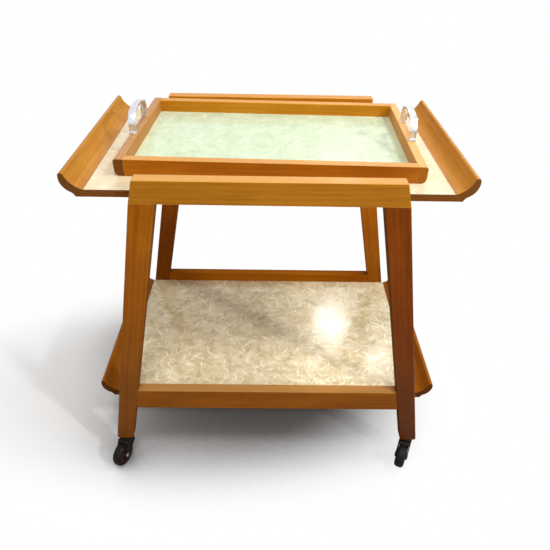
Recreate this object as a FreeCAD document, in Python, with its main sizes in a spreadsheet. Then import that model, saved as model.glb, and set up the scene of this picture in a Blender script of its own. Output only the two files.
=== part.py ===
"""Drop leaf tea trolley: a splayed beech frame, two shelves, a lift-off tray and four castors.

Frame of the part: origin on the floor under the middle, +X along the trolley, +Y to its back,
+Z up, millimetres.  The upper shelf is a fixed board with a drop leaf at each end; every shelf
end is an upturned cove moulding.
"""
import FreeCAD
import Part
import Sketcher

import math
import os
import re

from FreeCAD import Placement, Rotation, Vector

doc = FreeCAD.newDocument("tea_trolley")
sheet = doc.addObject("Spreadsheet::Sheet", "dims")

# ---------------------------------------------------------------- driving dimensions
DIMENSIONS = {
    # side frames
    "rail_top": 700.0,
    "frame_half_depth": 225.0,
    "frame_thick": 24.0,
    "rail_height": 41.0,
    "rail_bottom_half": 227.6,
    "front_rail_top_half": 217.5,
    "back_rail_top_half": 226.0,
    "leg_inner_top": 184.0,
    "leg_foot_outer": 336.0,
    "leg_foot_inner": 300.0,
    "leg_foot_up": 68.5,
    "leg_foot_round": 5.0,
    "arris": 1.6,
    "lower_rail_top": 220.0,
    "lower_rail_height": 52.0,
    "lower_rail_thick": 22.0,
    # dowels
    "dowel_radius": 4.0,
    "dowel_bore_radius": 4.05,
    "dowel_grip": 20.0,
    "dowel_spread": 11.0,
    "bore_run_in": 4.0,
    "rail_bore_inset": 13.0,
    "dowel_end_gap": 0.5,
    "board_dowel_half": 120.0,
    # shelves
    "shelf_top": 671.0,
    "lower_shelf_top": 196.5,
    "laminate_thick": 1.2,
    "board_thick": 11.5,
    "tongue_out": 6.0,
    "tongue_thick": 4.0,
    "tongue_slack": 0.1,
    "tongue_end_gap": 0.3,
    "leaf_joint": 215.0,
    "leaf_gap": 0.15,
    "leaf_side_gap": 0.6,
    "cove_start": 303.5,
    "lower_cove_start": 315.5,
    # section of the cove moulding, out and up from where it meets the laminate
    "cove_radius": 42.0,
    "cove_out": 27.5,
    "cove_up": 26.5,
    "lip_radius": 4.6,
    "back_radius": 27.0,
    "back_out": 9.4,
    "back_up": 20.0,
    "back_high_angle": 10.0,
    "back_low_angle": -62.0,
    "toe_out": 14.0,
    "toe_radius": 14.0,
    # cross bearers under the ends of the fixed board
    "bearer_thick": 14.0,
    "bearer_height": 26.0,
    "bearer_setback": 3.4,
    # leaf hinges
    "hinge_drop": 3.3,
    "knuckle_radius": 2.9,
    "hinge_pin_radius": 1.6,
    "hinge_bore_radius": 1.65,
    "hinge_plate": 1.5,
    "hinge_flap": 22.0,
    "hinge_length": 50.0,
    "hinge_half_pitch": 125.0,
    "hinge_slack": 0.3,
    "hinge_screw_out": 13.5,
    "hinge_screw_step": 18.0,
    # quadrant stays
    "stay_radius": 50.0,
    "stay_depth": 9.0,
    "stay_thick": 3.0,
    "stay_end_angle": 99.0,
    "stay_foot_start": 33.0,
    "stay_foot_length": 34.0,
    "stay_foot_width": 16.0,
    "stay_foot_thick": 2.0,
    "stay_foot_round": 3.0,
    "stay_screw_inset": 5.0,
    "relief_length": 14.0,
    "relief_width": 5.0,
    "relief_depth": 6.2,
    "keeper_slack": 0.4,
    "keeper_wall": 2.0,
    "keeper_length": 6.0,
    "keeper_plate_half": 14.0,
    "keeper_plate_thick": 1.5,
    "keeper_screw_half": 9.0,
    "clamp_rise": 0.6,
    "clamp_tip_gap": 0.08,
    "clamp_neck_gap": 0.4,
    "clamp_thread_radius": 2.0,
    "clamp_thread_slack": 0.05,
    "clamp_collar_radius": 3.9,
    "clamp_collar_thick": 1.5,
    "clamp_head_radius": 6.5,
    "clamp_head_thick": 6.0,
    "clamp_head_chamfer": 1.0,
    "clamp_flute_radius": 1.1,
    "clamp_flute_out": 0.5,
    "clamp_flute_start": 1.0,
    # tray
    "tray_half_length": 264.0,
    "tray_half_depth": 166.0,
    "tray_centre_x": 4.0,
    "tray_centre_y": 11.5,
    "tray_turn": -1.6,
    "tray_height": 30.0,
    "tray_rail_thick": 18.0,
    "tray_end_thick": 17.0,
    "tray_end_under_radius": 10.0,
    "tray_end_top_radius": 5.0,
    "tray_base_up": 1.2,
    "tray_base_thick": 4.0,
    "tray_laminate_thick": 0.8,
    "tray_groove": 5.0,
    "tray_groove_slack": 0.05,
    "tray_panel_gap": 0.3,
    # tray handles
    "handle_half_span": 49.0,
    "handle_height": 42.0,
    "handle_width": 12.5,
    "handle_thick": 3.0,
    "handle_top_radius": 110.0,
    "handle_corner_radius": 24.0,
    "handle_inset": 6.9,
    "handle_foot_length": 11.0,
    "handle_foot_thick": 3.0,
    "handle_foot_margin": 0.6,
    "handle_foot_inside": 1.0,
    "handle_foot_lap": 0.5,
    "handle_screw_sink": 4.0,
    "handle_screw_slack": 0.05,
    "handle_screw_end_gap": 0.3,
    "handle_cuff": 0.6,
    "handle_cuff_inside": 0.36,
    "cuff_low_angle": 56.0,
    "cuff_high_angle": 74.0,
    # castors
    "castor_x": 318.0,
    "castor_trail": 24.5,
    "wheel_radius": 27.5,
    "wheel_width": 21.0,
    "shoulder_radius": 7.5,
    "rim_radius": 18.5,
    "rim_width": 3.0,
    "hub_boss_radius": 7.0,
    "hub_boss_width": 22.2,
    "hub_rim_inset": 0.5,
    "hub_recess": 5.0,
    "hub_draft": 1.0,
    "axle_radius": 3.04,
    "axle_bore_radius": 3.10,
    "axle_head_radius": 5.0,
    "axle_head_thick": 1.4,
    "axle_head_draft": 1.0,
    "hood_width": 27.0,
    "hood_wall": 2.2,
    "hood_top": 61.0,
    "hood_back": 10.0,
    "hood_front": 19.0,
    "hood_skirt": 5.0,
    "hood_round": 3.0,
    "hood_back_drop": 12.0,
    "hood_front_drop": 10.0,
    "hood_lip_drop": 6.0,
    "cheek_end_radius": 8.0,
    "cheek_back_angle": 205.0,
    "cheek_front_angle": 20.0,
    "race_radius": 11.5,
    "race_top": 66.2,
    "race_chamfer": 1.5,
    "stem_radius": 3.97,
    "stem_bore_radius": 4.03,
    "stem_top": 106.0,
    "stem_chamfer": 1.0,
    "socket_radius": 5.5,
    "socket_slack": 0.05,
    "socket_end_gap": 0.5,
    "socket_cap": 1.0,
    "socket_flange_radius": 13.0,
    "socket_flange_under": 66.6,
    "socket_top": 108.0,
    # wood screws
    "screw_radius": 1.5,
    "screw_head_radius": 2.9,
    "screw_head_thick": 1.2,
    "screw_head_taper": 0.8,
    "screw_neck": 0.5,
    "screw_length": 9.0,
    "screw_slack": 0.1,
    # how far a cutting tool starts before a face or runs out past it
    "run_in": 1.0,
}

for row, (alias, value) in enumerate(DIMENSIONS.items(), start=1):
    sheet.set(f"A{row}", alias.replace("_", " "))
    sheet.set(f"B{row}", str(value))
    sheet.setAlias(f"B{row}", alias)
doc.recompute()

# Places used by more than one piece, written in the sheet's names.
RAIL_BOTTOM = "(rail_top - rail_height)"
FRAME_INNER = "(frame_half_depth - frame_thick)"
FRAME_MIDDLE = "(frame_half_depth - frame_thick / 2)"
LEG_INNER_SLOPE = f"((leg_foot_inner - leg_inner_top) / ({RAIL_BOTTOM} - leg_foot_up))"
BOARD_TOP = "(shelf_top - laminate_thick)"
BOARD_UNDER = f"({BOARD_TOP} - board_thick)"
LOWER_BOARD_TOP = "(lower_shelf_top - laminate_thick)"
LOWER_BOARD_UNDER = f"({LOWER_BOARD_TOP} - board_thick)"
HINGE_UP = f"({BOARD_UNDER} - hinge_drop)"
BEARER_OUTER = "(leaf_joint - bearer_setback)"
BEARER_INNER = f"({BEARER_OUTER} - bearer_thick)"
BEARER_UNDER = f"({BOARD_UNDER} - bearer_height)"
LOWER_RAIL_INNER = FRAME_INNER
LOWER_RAIL_MIDDLE = f"({FRAME_INNER} + lower_rail_thick / 2)"
TRAY_TOP = "(shelf_top + tray_height)"

# Heading of each castor's trailing wheel, in degrees about +Z from +X.
CASTORS = {
    "front_left": (-1, -1, -112.0),
    "front_right": (1, -1, -115.0),
    "back_left": (-1, 1, -110.0),
    "back_right": (1, 1, -117.0),
}
SIDES = {"left": -1, "right": 1}

# Slack for picking out edges by where they lie, in millimetres.
NEAR = 0.1
# Least volume that a cut must take away, in cubic millimetres.
LEAST_CUT = 0.01
# Radius of a round end over its half width; just over 1 leaves the sketch's arc one solution.
ROUND_END = 1.03

nodes = []


# ---------------------------------------------------------------- expressions and sketches
def bind(text):
    """Return the text as an expression in which each sheet name points at its cell."""
    return re.sub(r"[a-z_][a-z_0-9]*", lambda m: f"dims.{m[0]}" if m[0] in DIMENSIONS else m[0], str(text))


def size(text):
    """Return the present value of an expression in the sheet's names."""
    return float(sheet.evalExpression(bind(text)))


def signed(side, text):
    """Return the expression text, negated on the left or at the front."""
    return f"-({text})" if side < 0 else f"({text})"


def leg_inner(height):
    """Return X of a leg's inner edge at a height, for the right-hand legs."""
    return f"(leg_inner_top + ({RAIL_BOTTOM} - ({height})) * {LEG_INNER_SLOPE})"


def new_body(label):
    """Start a sub-part as a body whose label is its node's name."""
    body = doc.addObject("PartDesign::Body", label)
    body.Label = label
    nodes.append(body)
    return body


# Which way each origin plane looks along its world axis.
PLANE_FACING = {"XY": 1, "XZ": -1, "YZ": 1}


def new_sketch(body, plane, level="0"):
    """Attach a sketch to one of the body's origin planes, moved along that plane's world axis."""
    sketch = body.newObject("Sketcher::SketchObject", "Sketch")
    origin_plane = [f for f in body.Origin.OriginFeatures if f.Role == f"{plane}_Plane"][0]
    sketch.AttachmentSupport = [(origin_plane, "")]
    sketch.MapMode = "FlatFace"
    sketch.setExpression(".AttachmentOffset.Base.z", bind(f"{PLANE_FACING[plane]} * ({level})"))
    return sketch


def pin_point(sketch, geometry, position, across, up):
    """Hold a point of a sketch at a place given by two expressions."""
    for kind, text in (("DistanceX", across), ("DistanceY", up)):
        index = sketch.addConstraint(
            Sketcher.Constraint(kind, -1, 1, geometry, position, size(text)))
        sketch.setExpression(f"Constraints[{index}]", bind(text))


def hold_radius(sketch, geometry, radius):
    """Hold the radius of an arc or circle at an expression."""
    index = sketch.addConstraint(Sketcher.Constraint("Radius", geometry, size(radius)))
    sketch.setExpression(f"Constraints[{index}]", bind(radius))


def arc_between(start, end, radius):
    """Return an arc from start to end; a positive radius keeps its centre on the left."""
    chord = end - start
    half = chord.Length / 2
    reach = math.sqrt(max(radius * radius - half * half, 0.0))
    left = Vector(-chord.y, chord.x, 0).normalize()
    centre = start + chord * 0.5 + left * (reach if radius > 0 else -reach)
    first, last = (start, end) if radius > 0 else (end, start)
    circle = Part.Circle(centre, Vector(0, 0, 1), abs(radius))
    angles = [math.atan2(p.y - centre.y, p.x - centre.x) for p in (first, last)]
    return Part.ArcOfCircle(circle, angles[0], angles[1])


def outline(body, plane, corners, level="0", arcs=None):
    """Draw a closed outline whose corners, and the radii of whose arcs, follow the sheet.

    arcs maps a corner's number to the radius of the arc that leaves it; a positive radius
    keeps the arc's centre on the left of the way round.
    """
    arcs = arcs or {}
    sketch = new_sketch(body, plane, level)
    places = [Vector(size(across), size(up), 0) for across, up in corners]
    ends = []
    for number, place in enumerate(places):
        following = places[(number + 1) % len(places)]
        if number in arcs:
            radius = size(arcs[number])
            geometry = sketch.addGeometry(arc_between(place, following, radius))
            ends.append((geometry, (1, 2) if radius > 0 else (2, 1)))
        else:
            geometry = sketch.addGeometry(Part.LineSegment(place, following))
            ends.append((geometry, (1, 2)))
    for number, (geometry, (begin, _)) in enumerate(ends):
        before, (_, finish) = ends[number - 1]
        sketch.addConstraint(Sketcher.Constraint("Coincident", before, finish, geometry, begin))
    for number, (geometry, (begin, _)) in enumerate(ends):
        pin_point(sketch, geometry, begin, *corners[number])
        if number in arcs:
            hold_radius(sketch, geometry, arcs[number].lstrip("-"))
    return sketch


def rectangle(body, plane, low, high, level="0"):
    """Draw a rectangle from its low corner to its high corner."""
    corners = [(low[0], low[1]), (high[0], low[1]), (high[0], high[1]), (low[0], high[1])]
    return outline(body, plane, corners, level)


def circles(body, plane, centres, radius, level="0"):
    """Draw equal circles at the given centres."""
    sketch = new_sketch(body, plane, level)
    for across, up in centres:
        centre = Vector(size(across), size(up), 0)
        geometry = sketch.addGeometry(Part.Circle(centre, Vector(0, 0, 1), size(radius)))
        pin_point(sketch, geometry, 3, across, up)
        hold_radius(sketch, geometry, radius)
    return sketch


def plane_of(sketch):
    """Return the name of the origin plane that a sketch lies on."""
    return sketch.AttachmentSupport[0][0].Role.split("_")[0]


# ---------------------------------------------------------------- features
def pad(body, sketch, length, toward=1):
    """Pad a sketch along its plane's world axis, or to both sides when toward is 0."""
    feature = body.newObject("PartDesign::Pad", "Pad")
    feature.Profile = sketch
    feature.setExpression("Length", bind(length))
    if toward == 0:
        feature.SideType = "Symmetric"
    feature.Reversed = toward == -PLANE_FACING[plane_of(sketch)]
    doc.recompute()
    return feature


def pocket(body, sketch, length, toward=1):
    """Cut a sketch away along its plane's world axis, or to both sides when toward is 0."""
    before = body.Shape.Volume
    feature = body.newObject("PartDesign::Pocket", "Pocket")
    feature.Profile = sketch
    feature.setExpression("Length", bind(length))
    if toward == 0:
        feature.SideType = "Symmetric"
    feature.Reversed = toward == PLANE_FACING[plane_of(sketch)]
    doc.recompute()
    if not feature.Shape.Volume < before - LEAST_CUT:
        raise RuntimeError(f"{body.Label}: a pocket cuts nothing")
    return feature


def revolve(body, sketch):
    """Turn a sketch of a half section once round the sketch's upright axis."""
    feature = body.newObject("PartDesign::Revolution", "Revolution")
    feature.Profile = sketch
    feature.ReferenceAxis = (sketch, ["V_Axis"])
    feature.Angle = 360.0
    doc.recompute()
    return feature


def edges_where(feature, test):
    """Name the feature's edges for which test(edge, middle) is true."""
    names = []
    for number, edge in enumerate(feature.Shape.Edges, start=1):
        middle = edge.valueAt((edge.FirstParameter + edge.LastParameter) / 2)
        if test(edge, middle):
            names.append(f"Edge{number}")
    return names


def round_edges(body, feature, radius, test):
    """Fillet the feature's edges that pass the test."""
    fillet = body.newObject("PartDesign::Fillet", "Fillet")
    fillet.Base = (feature, edges_where(feature, test))
    fillet.setExpression("Radius", bind(radius))
    doc.recompute()
    return fillet


def runs_along(edge, axis):
    """Tell whether a straight edge is parallel to a world axis."""
    if edge.Curve.TypeId != "Part::GeomLine":
        return False
    return abs(edge.tangentAt(edge.FirstParameter).dot(axis)) > 0.999


ALONG_X = Vector(1, 0, 0)
ALONG_Y = Vector(0, 1, 0)
ALONG_Z = Vector(0, 0, 1)
AXIS_TURN = {
    "X": Rotation(ALONG_Y, 90),
    "Y": Rotation(ALONG_X, -90),
    "Z": Rotation(),
}


# ---------------------------------------------------------------- plain solids for small hardware
def set_place(solid, place, rotation):
    """Put a solid at a place given by three expressions, with a fixed rotation."""
    solid.Placement = Placement(Vector(), rotation)
    for letter, text in zip("xyz", place):
        solid.setExpression(f".Placement.Base.{letter}", bind(text))


def rod(place, axis, radius, length):
    """Make a cylinder from its base along a world axis."""
    solid = doc.addObject("Part::Cylinder", "Rod")
    solid.setExpression("Radius", bind(radius))
    solid.setExpression("Height", bind(length))
    set_place(solid, place, AXIS_TURN[axis])
    return solid


def block(low, lengths):
    """Make a box from its low corner and its three lengths."""
    solid = doc.addObject("Part::Box", "Block")
    for name, text in zip(("Length", "Width", "Height"), lengths):
        solid.setExpression(name, bind(text))
    set_place(solid, low, Rotation())
    return solid


def cone(place, rotation, radii, length):
    """Make a cone from its base, its two radii and its length."""
    solid = doc.addObject("Part::Cone", "Cone")
    solid.setExpression("Radius1", bind(radii[0]))
    solid.setExpression("Radius2", bind(radii[1]))
    solid.setExpression("Height", bind(length))
    set_place(solid, place, rotation)
    return solid


def joined(solids):
    """Fuse solids into one."""
    fusion = doc.addObject("Part::MultiFuse", "Joined")
    fusion.Shapes = solids
    return fusion


def cut(base, tools):
    """Take the tools away from the base."""
    result = doc.addObject("Part::Cut", "Cut")
    result.Base = base
    result.Tool = tools[0] if len(tools) == 1 else joined(tools)
    return result


def group(label, solids):
    """Keep separate solids together in one node."""
    compound = doc.addObject("Part::Compound", label)
    compound.Label = label
    compound.Links = solids
    nodes.append(compound)
    return compound


# ---------------------------------------------------------------- dowels
dowels = []


def dowel(place, axis):
    """Add a dowel whose middle is at the joint between two pieces."""
    letter = "XYZ".index(axis)
    start = list(place)
    start[letter] = f"({start[letter]}) - dowel_grip + dowel_end_gap"
    dowels.append(rod(start, axis, "dowel_radius", "2 * (dowel_grip - dowel_end_gap)"))


def bore(body, plane, centres, level, toward):
    """Bore a piece for dowels from the joint at the level."""
    pocket(body, circles(body, plane, centres, "dowel_bore_radius", level), "dowel_grip", toward)


def bore_slanted(body, centres, end, height, run_in):
    """Bore a piece at a leg's slanted inner edge, from just before the joint to a dowel's grip."""
    level = signed(end, f"{leg_inner(height)} {run_in} bore_run_in")
    toward = end if run_in == "-" else -end
    sketch = circles(body, "YZ", centres, "dowel_bore_radius", level)
    pocket(body, sketch, "dowel_grip + bore_run_in", toward)


LEG_TOP_MIDDLE = "((rail_bottom_half + leg_inner_top) / 2)"
LOWER_RAIL_UNDER = "(lower_rail_top - lower_rail_height)"
LOWER_RAIL_BORES = ("(lower_rail_top - rail_bore_inset)", f"({LOWER_RAIL_UNDER} + rail_bore_inset)")
BEARER_MIDDLE = f"({BEARER_OUTER} - bearer_thick / 2)"
BEARER_BORE = (BEARER_MIDDLE, f"({BEARER_UNDER} + bearer_height / 2)")
BOARD_BORES = ("-board_dowel_half", "board_dowel_half")


# ---------------------------------------------------------------- side frames
def top_rail(label, side, top_half):
    """Rail over two legs, with its ends cut on the line of the legs."""
    body = new_body(label)
    corners = [
        ("-rail_bottom_half", RAIL_BOTTOM),
        ("rail_bottom_half", RAIL_BOTTOM),
        (top_half, "rail_top"),
        (f"-{top_half}", "rail_top"),
    ]
    face = outline(body, "XZ", corners, signed(side, FRAME_INNER))
    slab = pad(body, face, "frame_thick", side)
    high = size("rail_top") - NEAR
    end_x = size(top_half) - NEAR
    round_edges(body, slab, "arris", lambda e, m: m.z > high or (
        abs(m.x) > end_x and not runs_along(e, ALONG_Y)))
    centres = [
        (signed(end, f"{LEG_TOP_MIDDLE} + {step} * dowel_spread"), signed(side, FRAME_MIDDLE))
        for end in (-1, 1) for step in (-1, 1)
    ]
    bore(body, "XY", centres, RAIL_BOTTOM, 1)
    for across, depth in centres:
        dowel((across, depth, RAIL_BOTTOM), "Z")
    board_bores(body, side, f"({BOARD_UNDER} + board_thick / 2)", FRAME_INNER)
    return body


def board_bores(body, side, height, inner_face):
    """Bore a rail for the dowels that carry a shelf board, and add those dowels."""
    centres = [(across, height) for across in BOARD_BORES]
    sketch = circles(body, "XZ", centres, "dowel_bore_radius", signed(side, inner_face))
    pocket(body, sketch, "dowel_grip", side)
    for across, up in centres:
        dowel((across, signed(side, inner_face), up), "Y")


def leg(label, end, side):
    """Splayed, tapered leg with rounded foot corners and a bore for the castor socket."""
    body = new_body(label)
    corners = [
        (signed(end, "leg_inner_top"), RAIL_BOTTOM),
        (signed(end, "leg_foot_inner"), "leg_foot_up"),
        (signed(end, "leg_foot_outer"), "leg_foot_up"),
        (signed(end, "rail_bottom_half"), RAIL_BOTTOM),
    ]
    face = outline(body, "XZ", corners, signed(side, FRAME_INNER))
    plank = pad(body, face, "frame_thick", side)
    foot = size("leg_foot_up") + NEAR
    plank = round_edges(body, plank, "leg_foot_round", lambda e, m: runs_along(e, ALONG_Y) and m.z < foot)
    top = size(RAIL_BOTTOM) - NEAR
    long = size("2 * frame_thick")
    round_edges(body, plank, "arris", lambda e, m: (
        m.z < top and e.Length > long and not runs_along(e, ALONG_Y)))
    centres = [
        (signed(end, f"{LEG_TOP_MIDDLE} + {step} * dowel_spread"), signed(side, FRAME_MIDDLE))
        for step in (-1, 1)
    ]
    bore(body, "XY", centres, RAIL_BOTTOM, -1)
    socket = circles(body, "XY", [(signed(end, "castor_x"), signed(side, FRAME_MIDDLE))],
                     "socket_radius + socket_slack", "leg_foot_up - run_in")
    pocket(body, socket, "socket_top + socket_end_gap - leg_foot_up + run_in", 1)
    for height in LOWER_RAIL_BORES:
        depth = signed(side, LOWER_RAIL_MIDDLE)
        bore_slanted(body, [(depth, height)], end, height, "-")
        dowel((signed(end, leg_inner(height)), depth, height), "X")
    across, height = signed(end, BEARER_BORE[0]), BEARER_BORE[1]
    bore(body, "XZ", [(across, height)], signed(side, FRAME_INNER), side)
    dowel((across, signed(side, FRAME_INNER), height), "Y")
    return body


def lower_rail(label, side):
    """Rail between two legs that carries the lower shelf."""
    body = new_body(label)
    corners = [
        (f"-{leg_inner(LOWER_RAIL_UNDER)}", LOWER_RAIL_UNDER),
        (leg_inner(LOWER_RAIL_UNDER), LOWER_RAIL_UNDER),
        (leg_inner("lower_rail_top"), "lower_rail_top"),
        (f"-{leg_inner('lower_rail_top')}", "lower_rail_top"),
    ]
    face = outline(body, "XZ", corners, signed(side, LOWER_RAIL_INNER))
    slab = pad(body, face, "lower_rail_thick", side)
    round_edges(body, slab, "arris", lambda e, m: runs_along(e, ALONG_X))
    for height in LOWER_RAIL_BORES:
        for end in (-1, 1):
            bore_slanted(body, [(signed(side, LOWER_RAIL_MIDDLE), height)], end, height, "+")
    board_bores(body, side, f"({LOWER_BOARD_UNDER} + board_thick / 2)", LOWER_RAIL_INNER)
    return body


# ---------------------------------------------------------------- shelves
def board_outline(body, ends, top, under, depth_half):
    """Draw a board's long section; ends gives X and whether a tongue stands there."""
    tongue_low = f"({under} + (board_thick - tongue_thick) / 2)"
    tongue_high = f"({tongue_low} + tongue_thick)"
    (left, left_tongue), (right, right_tongue) = ends
    corners = [(left, under), (right, under)]
    if right_tongue:
        tip = f"({right} + tongue_out)"
        corners += [(right, tongue_low), (tip, tongue_low), (tip, tongue_high), (right, tongue_high)]
    corners += [(right, top), (left, top)]
    if left_tongue:
        tip = f"({left} - tongue_out)"
        corners += [(left, tongue_high), (tip, tongue_high), (tip, tongue_low), (left, tongue_low)]
    return pad(body, outline(body, "XZ", corners), f"2 * {depth_half}", 0)


def bore_board_edges(body, height, depth_half):
    """Bore both long edges of a board for its dowels."""
    for side in (-1, 1):
        centres = [(across, height) for across in BOARD_BORES]
        bore(body, "XZ", centres, signed(side, depth_half), -side)


def upper_shelf_board():
    """Fixed middle board, with a shallow relief over each stay's free end."""
    body = new_body("upper_shelf_board")
    ends = (("-(leaf_joint - leaf_gap)", False), ("(leaf_joint - leaf_gap)", False))
    board_outline(body, ends, BOARD_TOP, BOARD_UNDER, FRAME_INNER)
    bore_board_edges(body, f"({BOARD_UNDER} + board_thick / 2)", FRAME_INNER)
    for end in (-1, 1):
        middle = f"(leaf_joint - stay_radius)"
        low = (f"{signed(end, middle)} - relief_length / 2", "-relief_width / 2")
        high = (f"{signed(end, middle)} + relief_length / 2", "relief_width / 2")
        pocket(body, rectangle(body, "XY", low, high, BOARD_UNDER), "relief_depth", 1)
    return body


def sheet_of_laminate(label, low_x, high_x, depth_half, top):
    """Thin laminate sheet on a board."""
    body = new_body(label)
    low = (low_x, f"-({depth_half})")
    high = (high_x, depth_half)
    pad(body, rectangle(body, "XY", low, high, f"{top} - laminate_thick"), "laminate_thick", 1)
    return body


def cove_end(label, end, start, top, depth_half):
    """Upturned moulding: a cove inside, a round back, a sharp toe and a groove for the tongue."""
    body = new_body(label)
    under = f"({top} - laminate_thick - board_thick)"
    groove_low = f"({under} + (board_thick - tongue_thick) / 2 - tongue_slack)"
    groove_high = f"({groove_low} + tongue_thick + 2 * tongue_slack)"

    def across(out):
        """Return X at a distance out from where the moulding meets the laminate."""
        return f"({start} + {out})"

    def rise(up):
        """Return Z at a height above the laminate."""
        return f"({top} + {up})"

    def on_back(angle):
        """Return a point of the round back at an angle from level."""
        return across(f"back_out + back_radius * cos({angle})"), rise(f"back_up + back_radius * sin({angle})")

    corners = [
        (across("0"), rise("0")),
        (across("0"), groove_high),
        (across("tongue_out + tongue_end_gap"), groove_high),
        (across("tongue_out + tongue_end_gap"), groove_low),
        (across("0"), groove_low),
        (across("0"), under),
        (across("toe_out"), under),
        on_back("back_low_angle"),
        on_back("back_high_angle"),
        (across("cove_out"), rise("cove_up")),
    ]
    arcs = {6: "-toe_radius", 7: "back_radius", 8: "lip_radius", 9: "-cove_radius"}
    if end < 0:
        corners = [(f"-{x}", up) for x, up in corners]
        arcs = {number: radius[1:] if radius[0] == "-" else f"-{radius}" for number, radius in arcs.items()}
    pad(body, outline(body, "XZ", corners, arcs=arcs), f"2 * {depth_half}", 0)


def cross_bearer(end):
    """Bearer between the legs, under the end of the fixed board, that carries hinges and stay."""
    body = doc.addObject("PartDesign::Body", "Bearer")
    low = (signed(end, BEARER_MIDDLE) + " - bearer_thick / 2", BEARER_UNDER)
    high = (signed(end, BEARER_MIDDLE) + " + bearer_thick / 2", BOARD_UNDER)
    beam = pad(body, rectangle(body, "XZ", low, high), f"2 * {FRAME_INNER}", 0)
    under = size(BEARER_UNDER) + NEAR
    round_edges(body, beam, "arris", lambda e, m: runs_along(e, ALONG_Y) and m.z < under)
    for side in (-1, 1):
        centre = (signed(end, BEARER_BORE[0]), BEARER_BORE[1])
        bore(body, "XZ", [centre], signed(side, FRAME_INNER), -side)
    return body


# ---------------------------------------------------------------- leaf hinges and stays
def knuckles(end, middle_y, numbers):
    """Make the numbered thirds of a hinge's barrel, each a little short of its share."""
    share = "(hinge_length / 3)"
    solids = []
    for number in numbers:
        start = f"({middle_y} - hinge_length / 2 + {number} * {share} + hinge_slack / 2)"
        place = (signed(end, "leaf_joint"), start, HINGE_UP)
        solids.append(rod(place, "Y", "knuckle_radius", f"{share} - hinge_slack"))
    return solids


def hinge_flap(end, middle_y, numbers, low, lengths, gaps, holes):
    """Make one half of a hinge: its plate, its knuckles and the bore for the pin."""
    plate = block(low, lengths)
    clear = holes + [
        rod((signed(end, "leaf_joint"), start, HINGE_UP), "Y", "knuckle_radius + hinge_slack", length)
        for start, length in gaps
    ]
    barrel_start = (signed(end, "leaf_joint"), f"({middle_y} - hinge_length / 2 - run_in)", HINGE_UP)
    barrel_bore = rod(barrel_start, "Y", "hinge_bore_radius", "hinge_length + 2 * run_in")
    return cut(joined([cut(plate, clear)] + knuckles(end, middle_y, numbers)), [barrel_bore])


def gaps_for(middle_y, numbers):
    """Say where the other half's knuckles turn, as pairs of start and length along Y."""
    share = "(hinge_length / 3)"
    return [(f"({middle_y} - hinge_length / 2 + {n} * {share})", share) for n in numbers]


FIXED_KNUCKLES = (0, 2)
LEAF_KNUCKLES = (1,)
HINGE_MIDDLES = ("-hinge_half_pitch", "hinge_half_pitch")


def fixed_flap(end, middle_y):
    """Half of a hinge that stands against the bearer's outer face."""
    outer = f"({BEARER_OUTER} + hinge_plate)"
    low_x = BEARER_OUTER if end > 0 else f"-{outer}"
    low = (low_x, f"({middle_y} - hinge_length / 2)", f"({HINGE_UP} - hinge_flap)")
    hole_x = f"{low_x} - run_in"
    hole_z = f"({HINGE_UP} - hinge_screw_out)"
    holes = [
        rod((hole_x, y, hole_z), "X", "screw_radius + screw_slack", "hinge_plate + 2 * run_in")
        for y in hinge_screw_spots(middle_y)
    ]
    return hinge_flap(end, middle_y, FIXED_KNUCKLES, low, ("hinge_plate", "hinge_length", "hinge_flap"),
                      gaps_for(middle_y, LEAF_KNUCKLES), holes)


def leaf_flap(end, middle_y):
    """Half of a hinge that lies against the leaf's underside."""
    low_x = "leaf_joint" if end > 0 else "-(leaf_joint + hinge_flap)"
    low = (low_x, f"({middle_y} - hinge_length / 2)", f"({BOARD_UNDER} - hinge_plate)")
    hole_x = signed(end, "leaf_joint + hinge_screw_out")
    hole_z = f"({BOARD_UNDER} - hinge_plate - run_in)"
    holes = [
        rod((hole_x, y, hole_z), "Z", "screw_radius + screw_slack", "hinge_plate + 2 * run_in")
        for y in hinge_screw_spots(middle_y)
    ]
    return hinge_flap(end, middle_y, LEAF_KNUCKLES, low, ("hinge_flap", "hinge_length", "hinge_plate"),
                      gaps_for(middle_y, FIXED_KNUCKLES), holes)


def hinge_pin(end, middle_y):
    """Pin through a hinge's barrel."""
    place = (signed(end, "leaf_joint"), f"({middle_y} - hinge_length / 2)", HINGE_UP)
    return rod(place, "Y", "hinge_pin_radius", "hinge_length")


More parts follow.
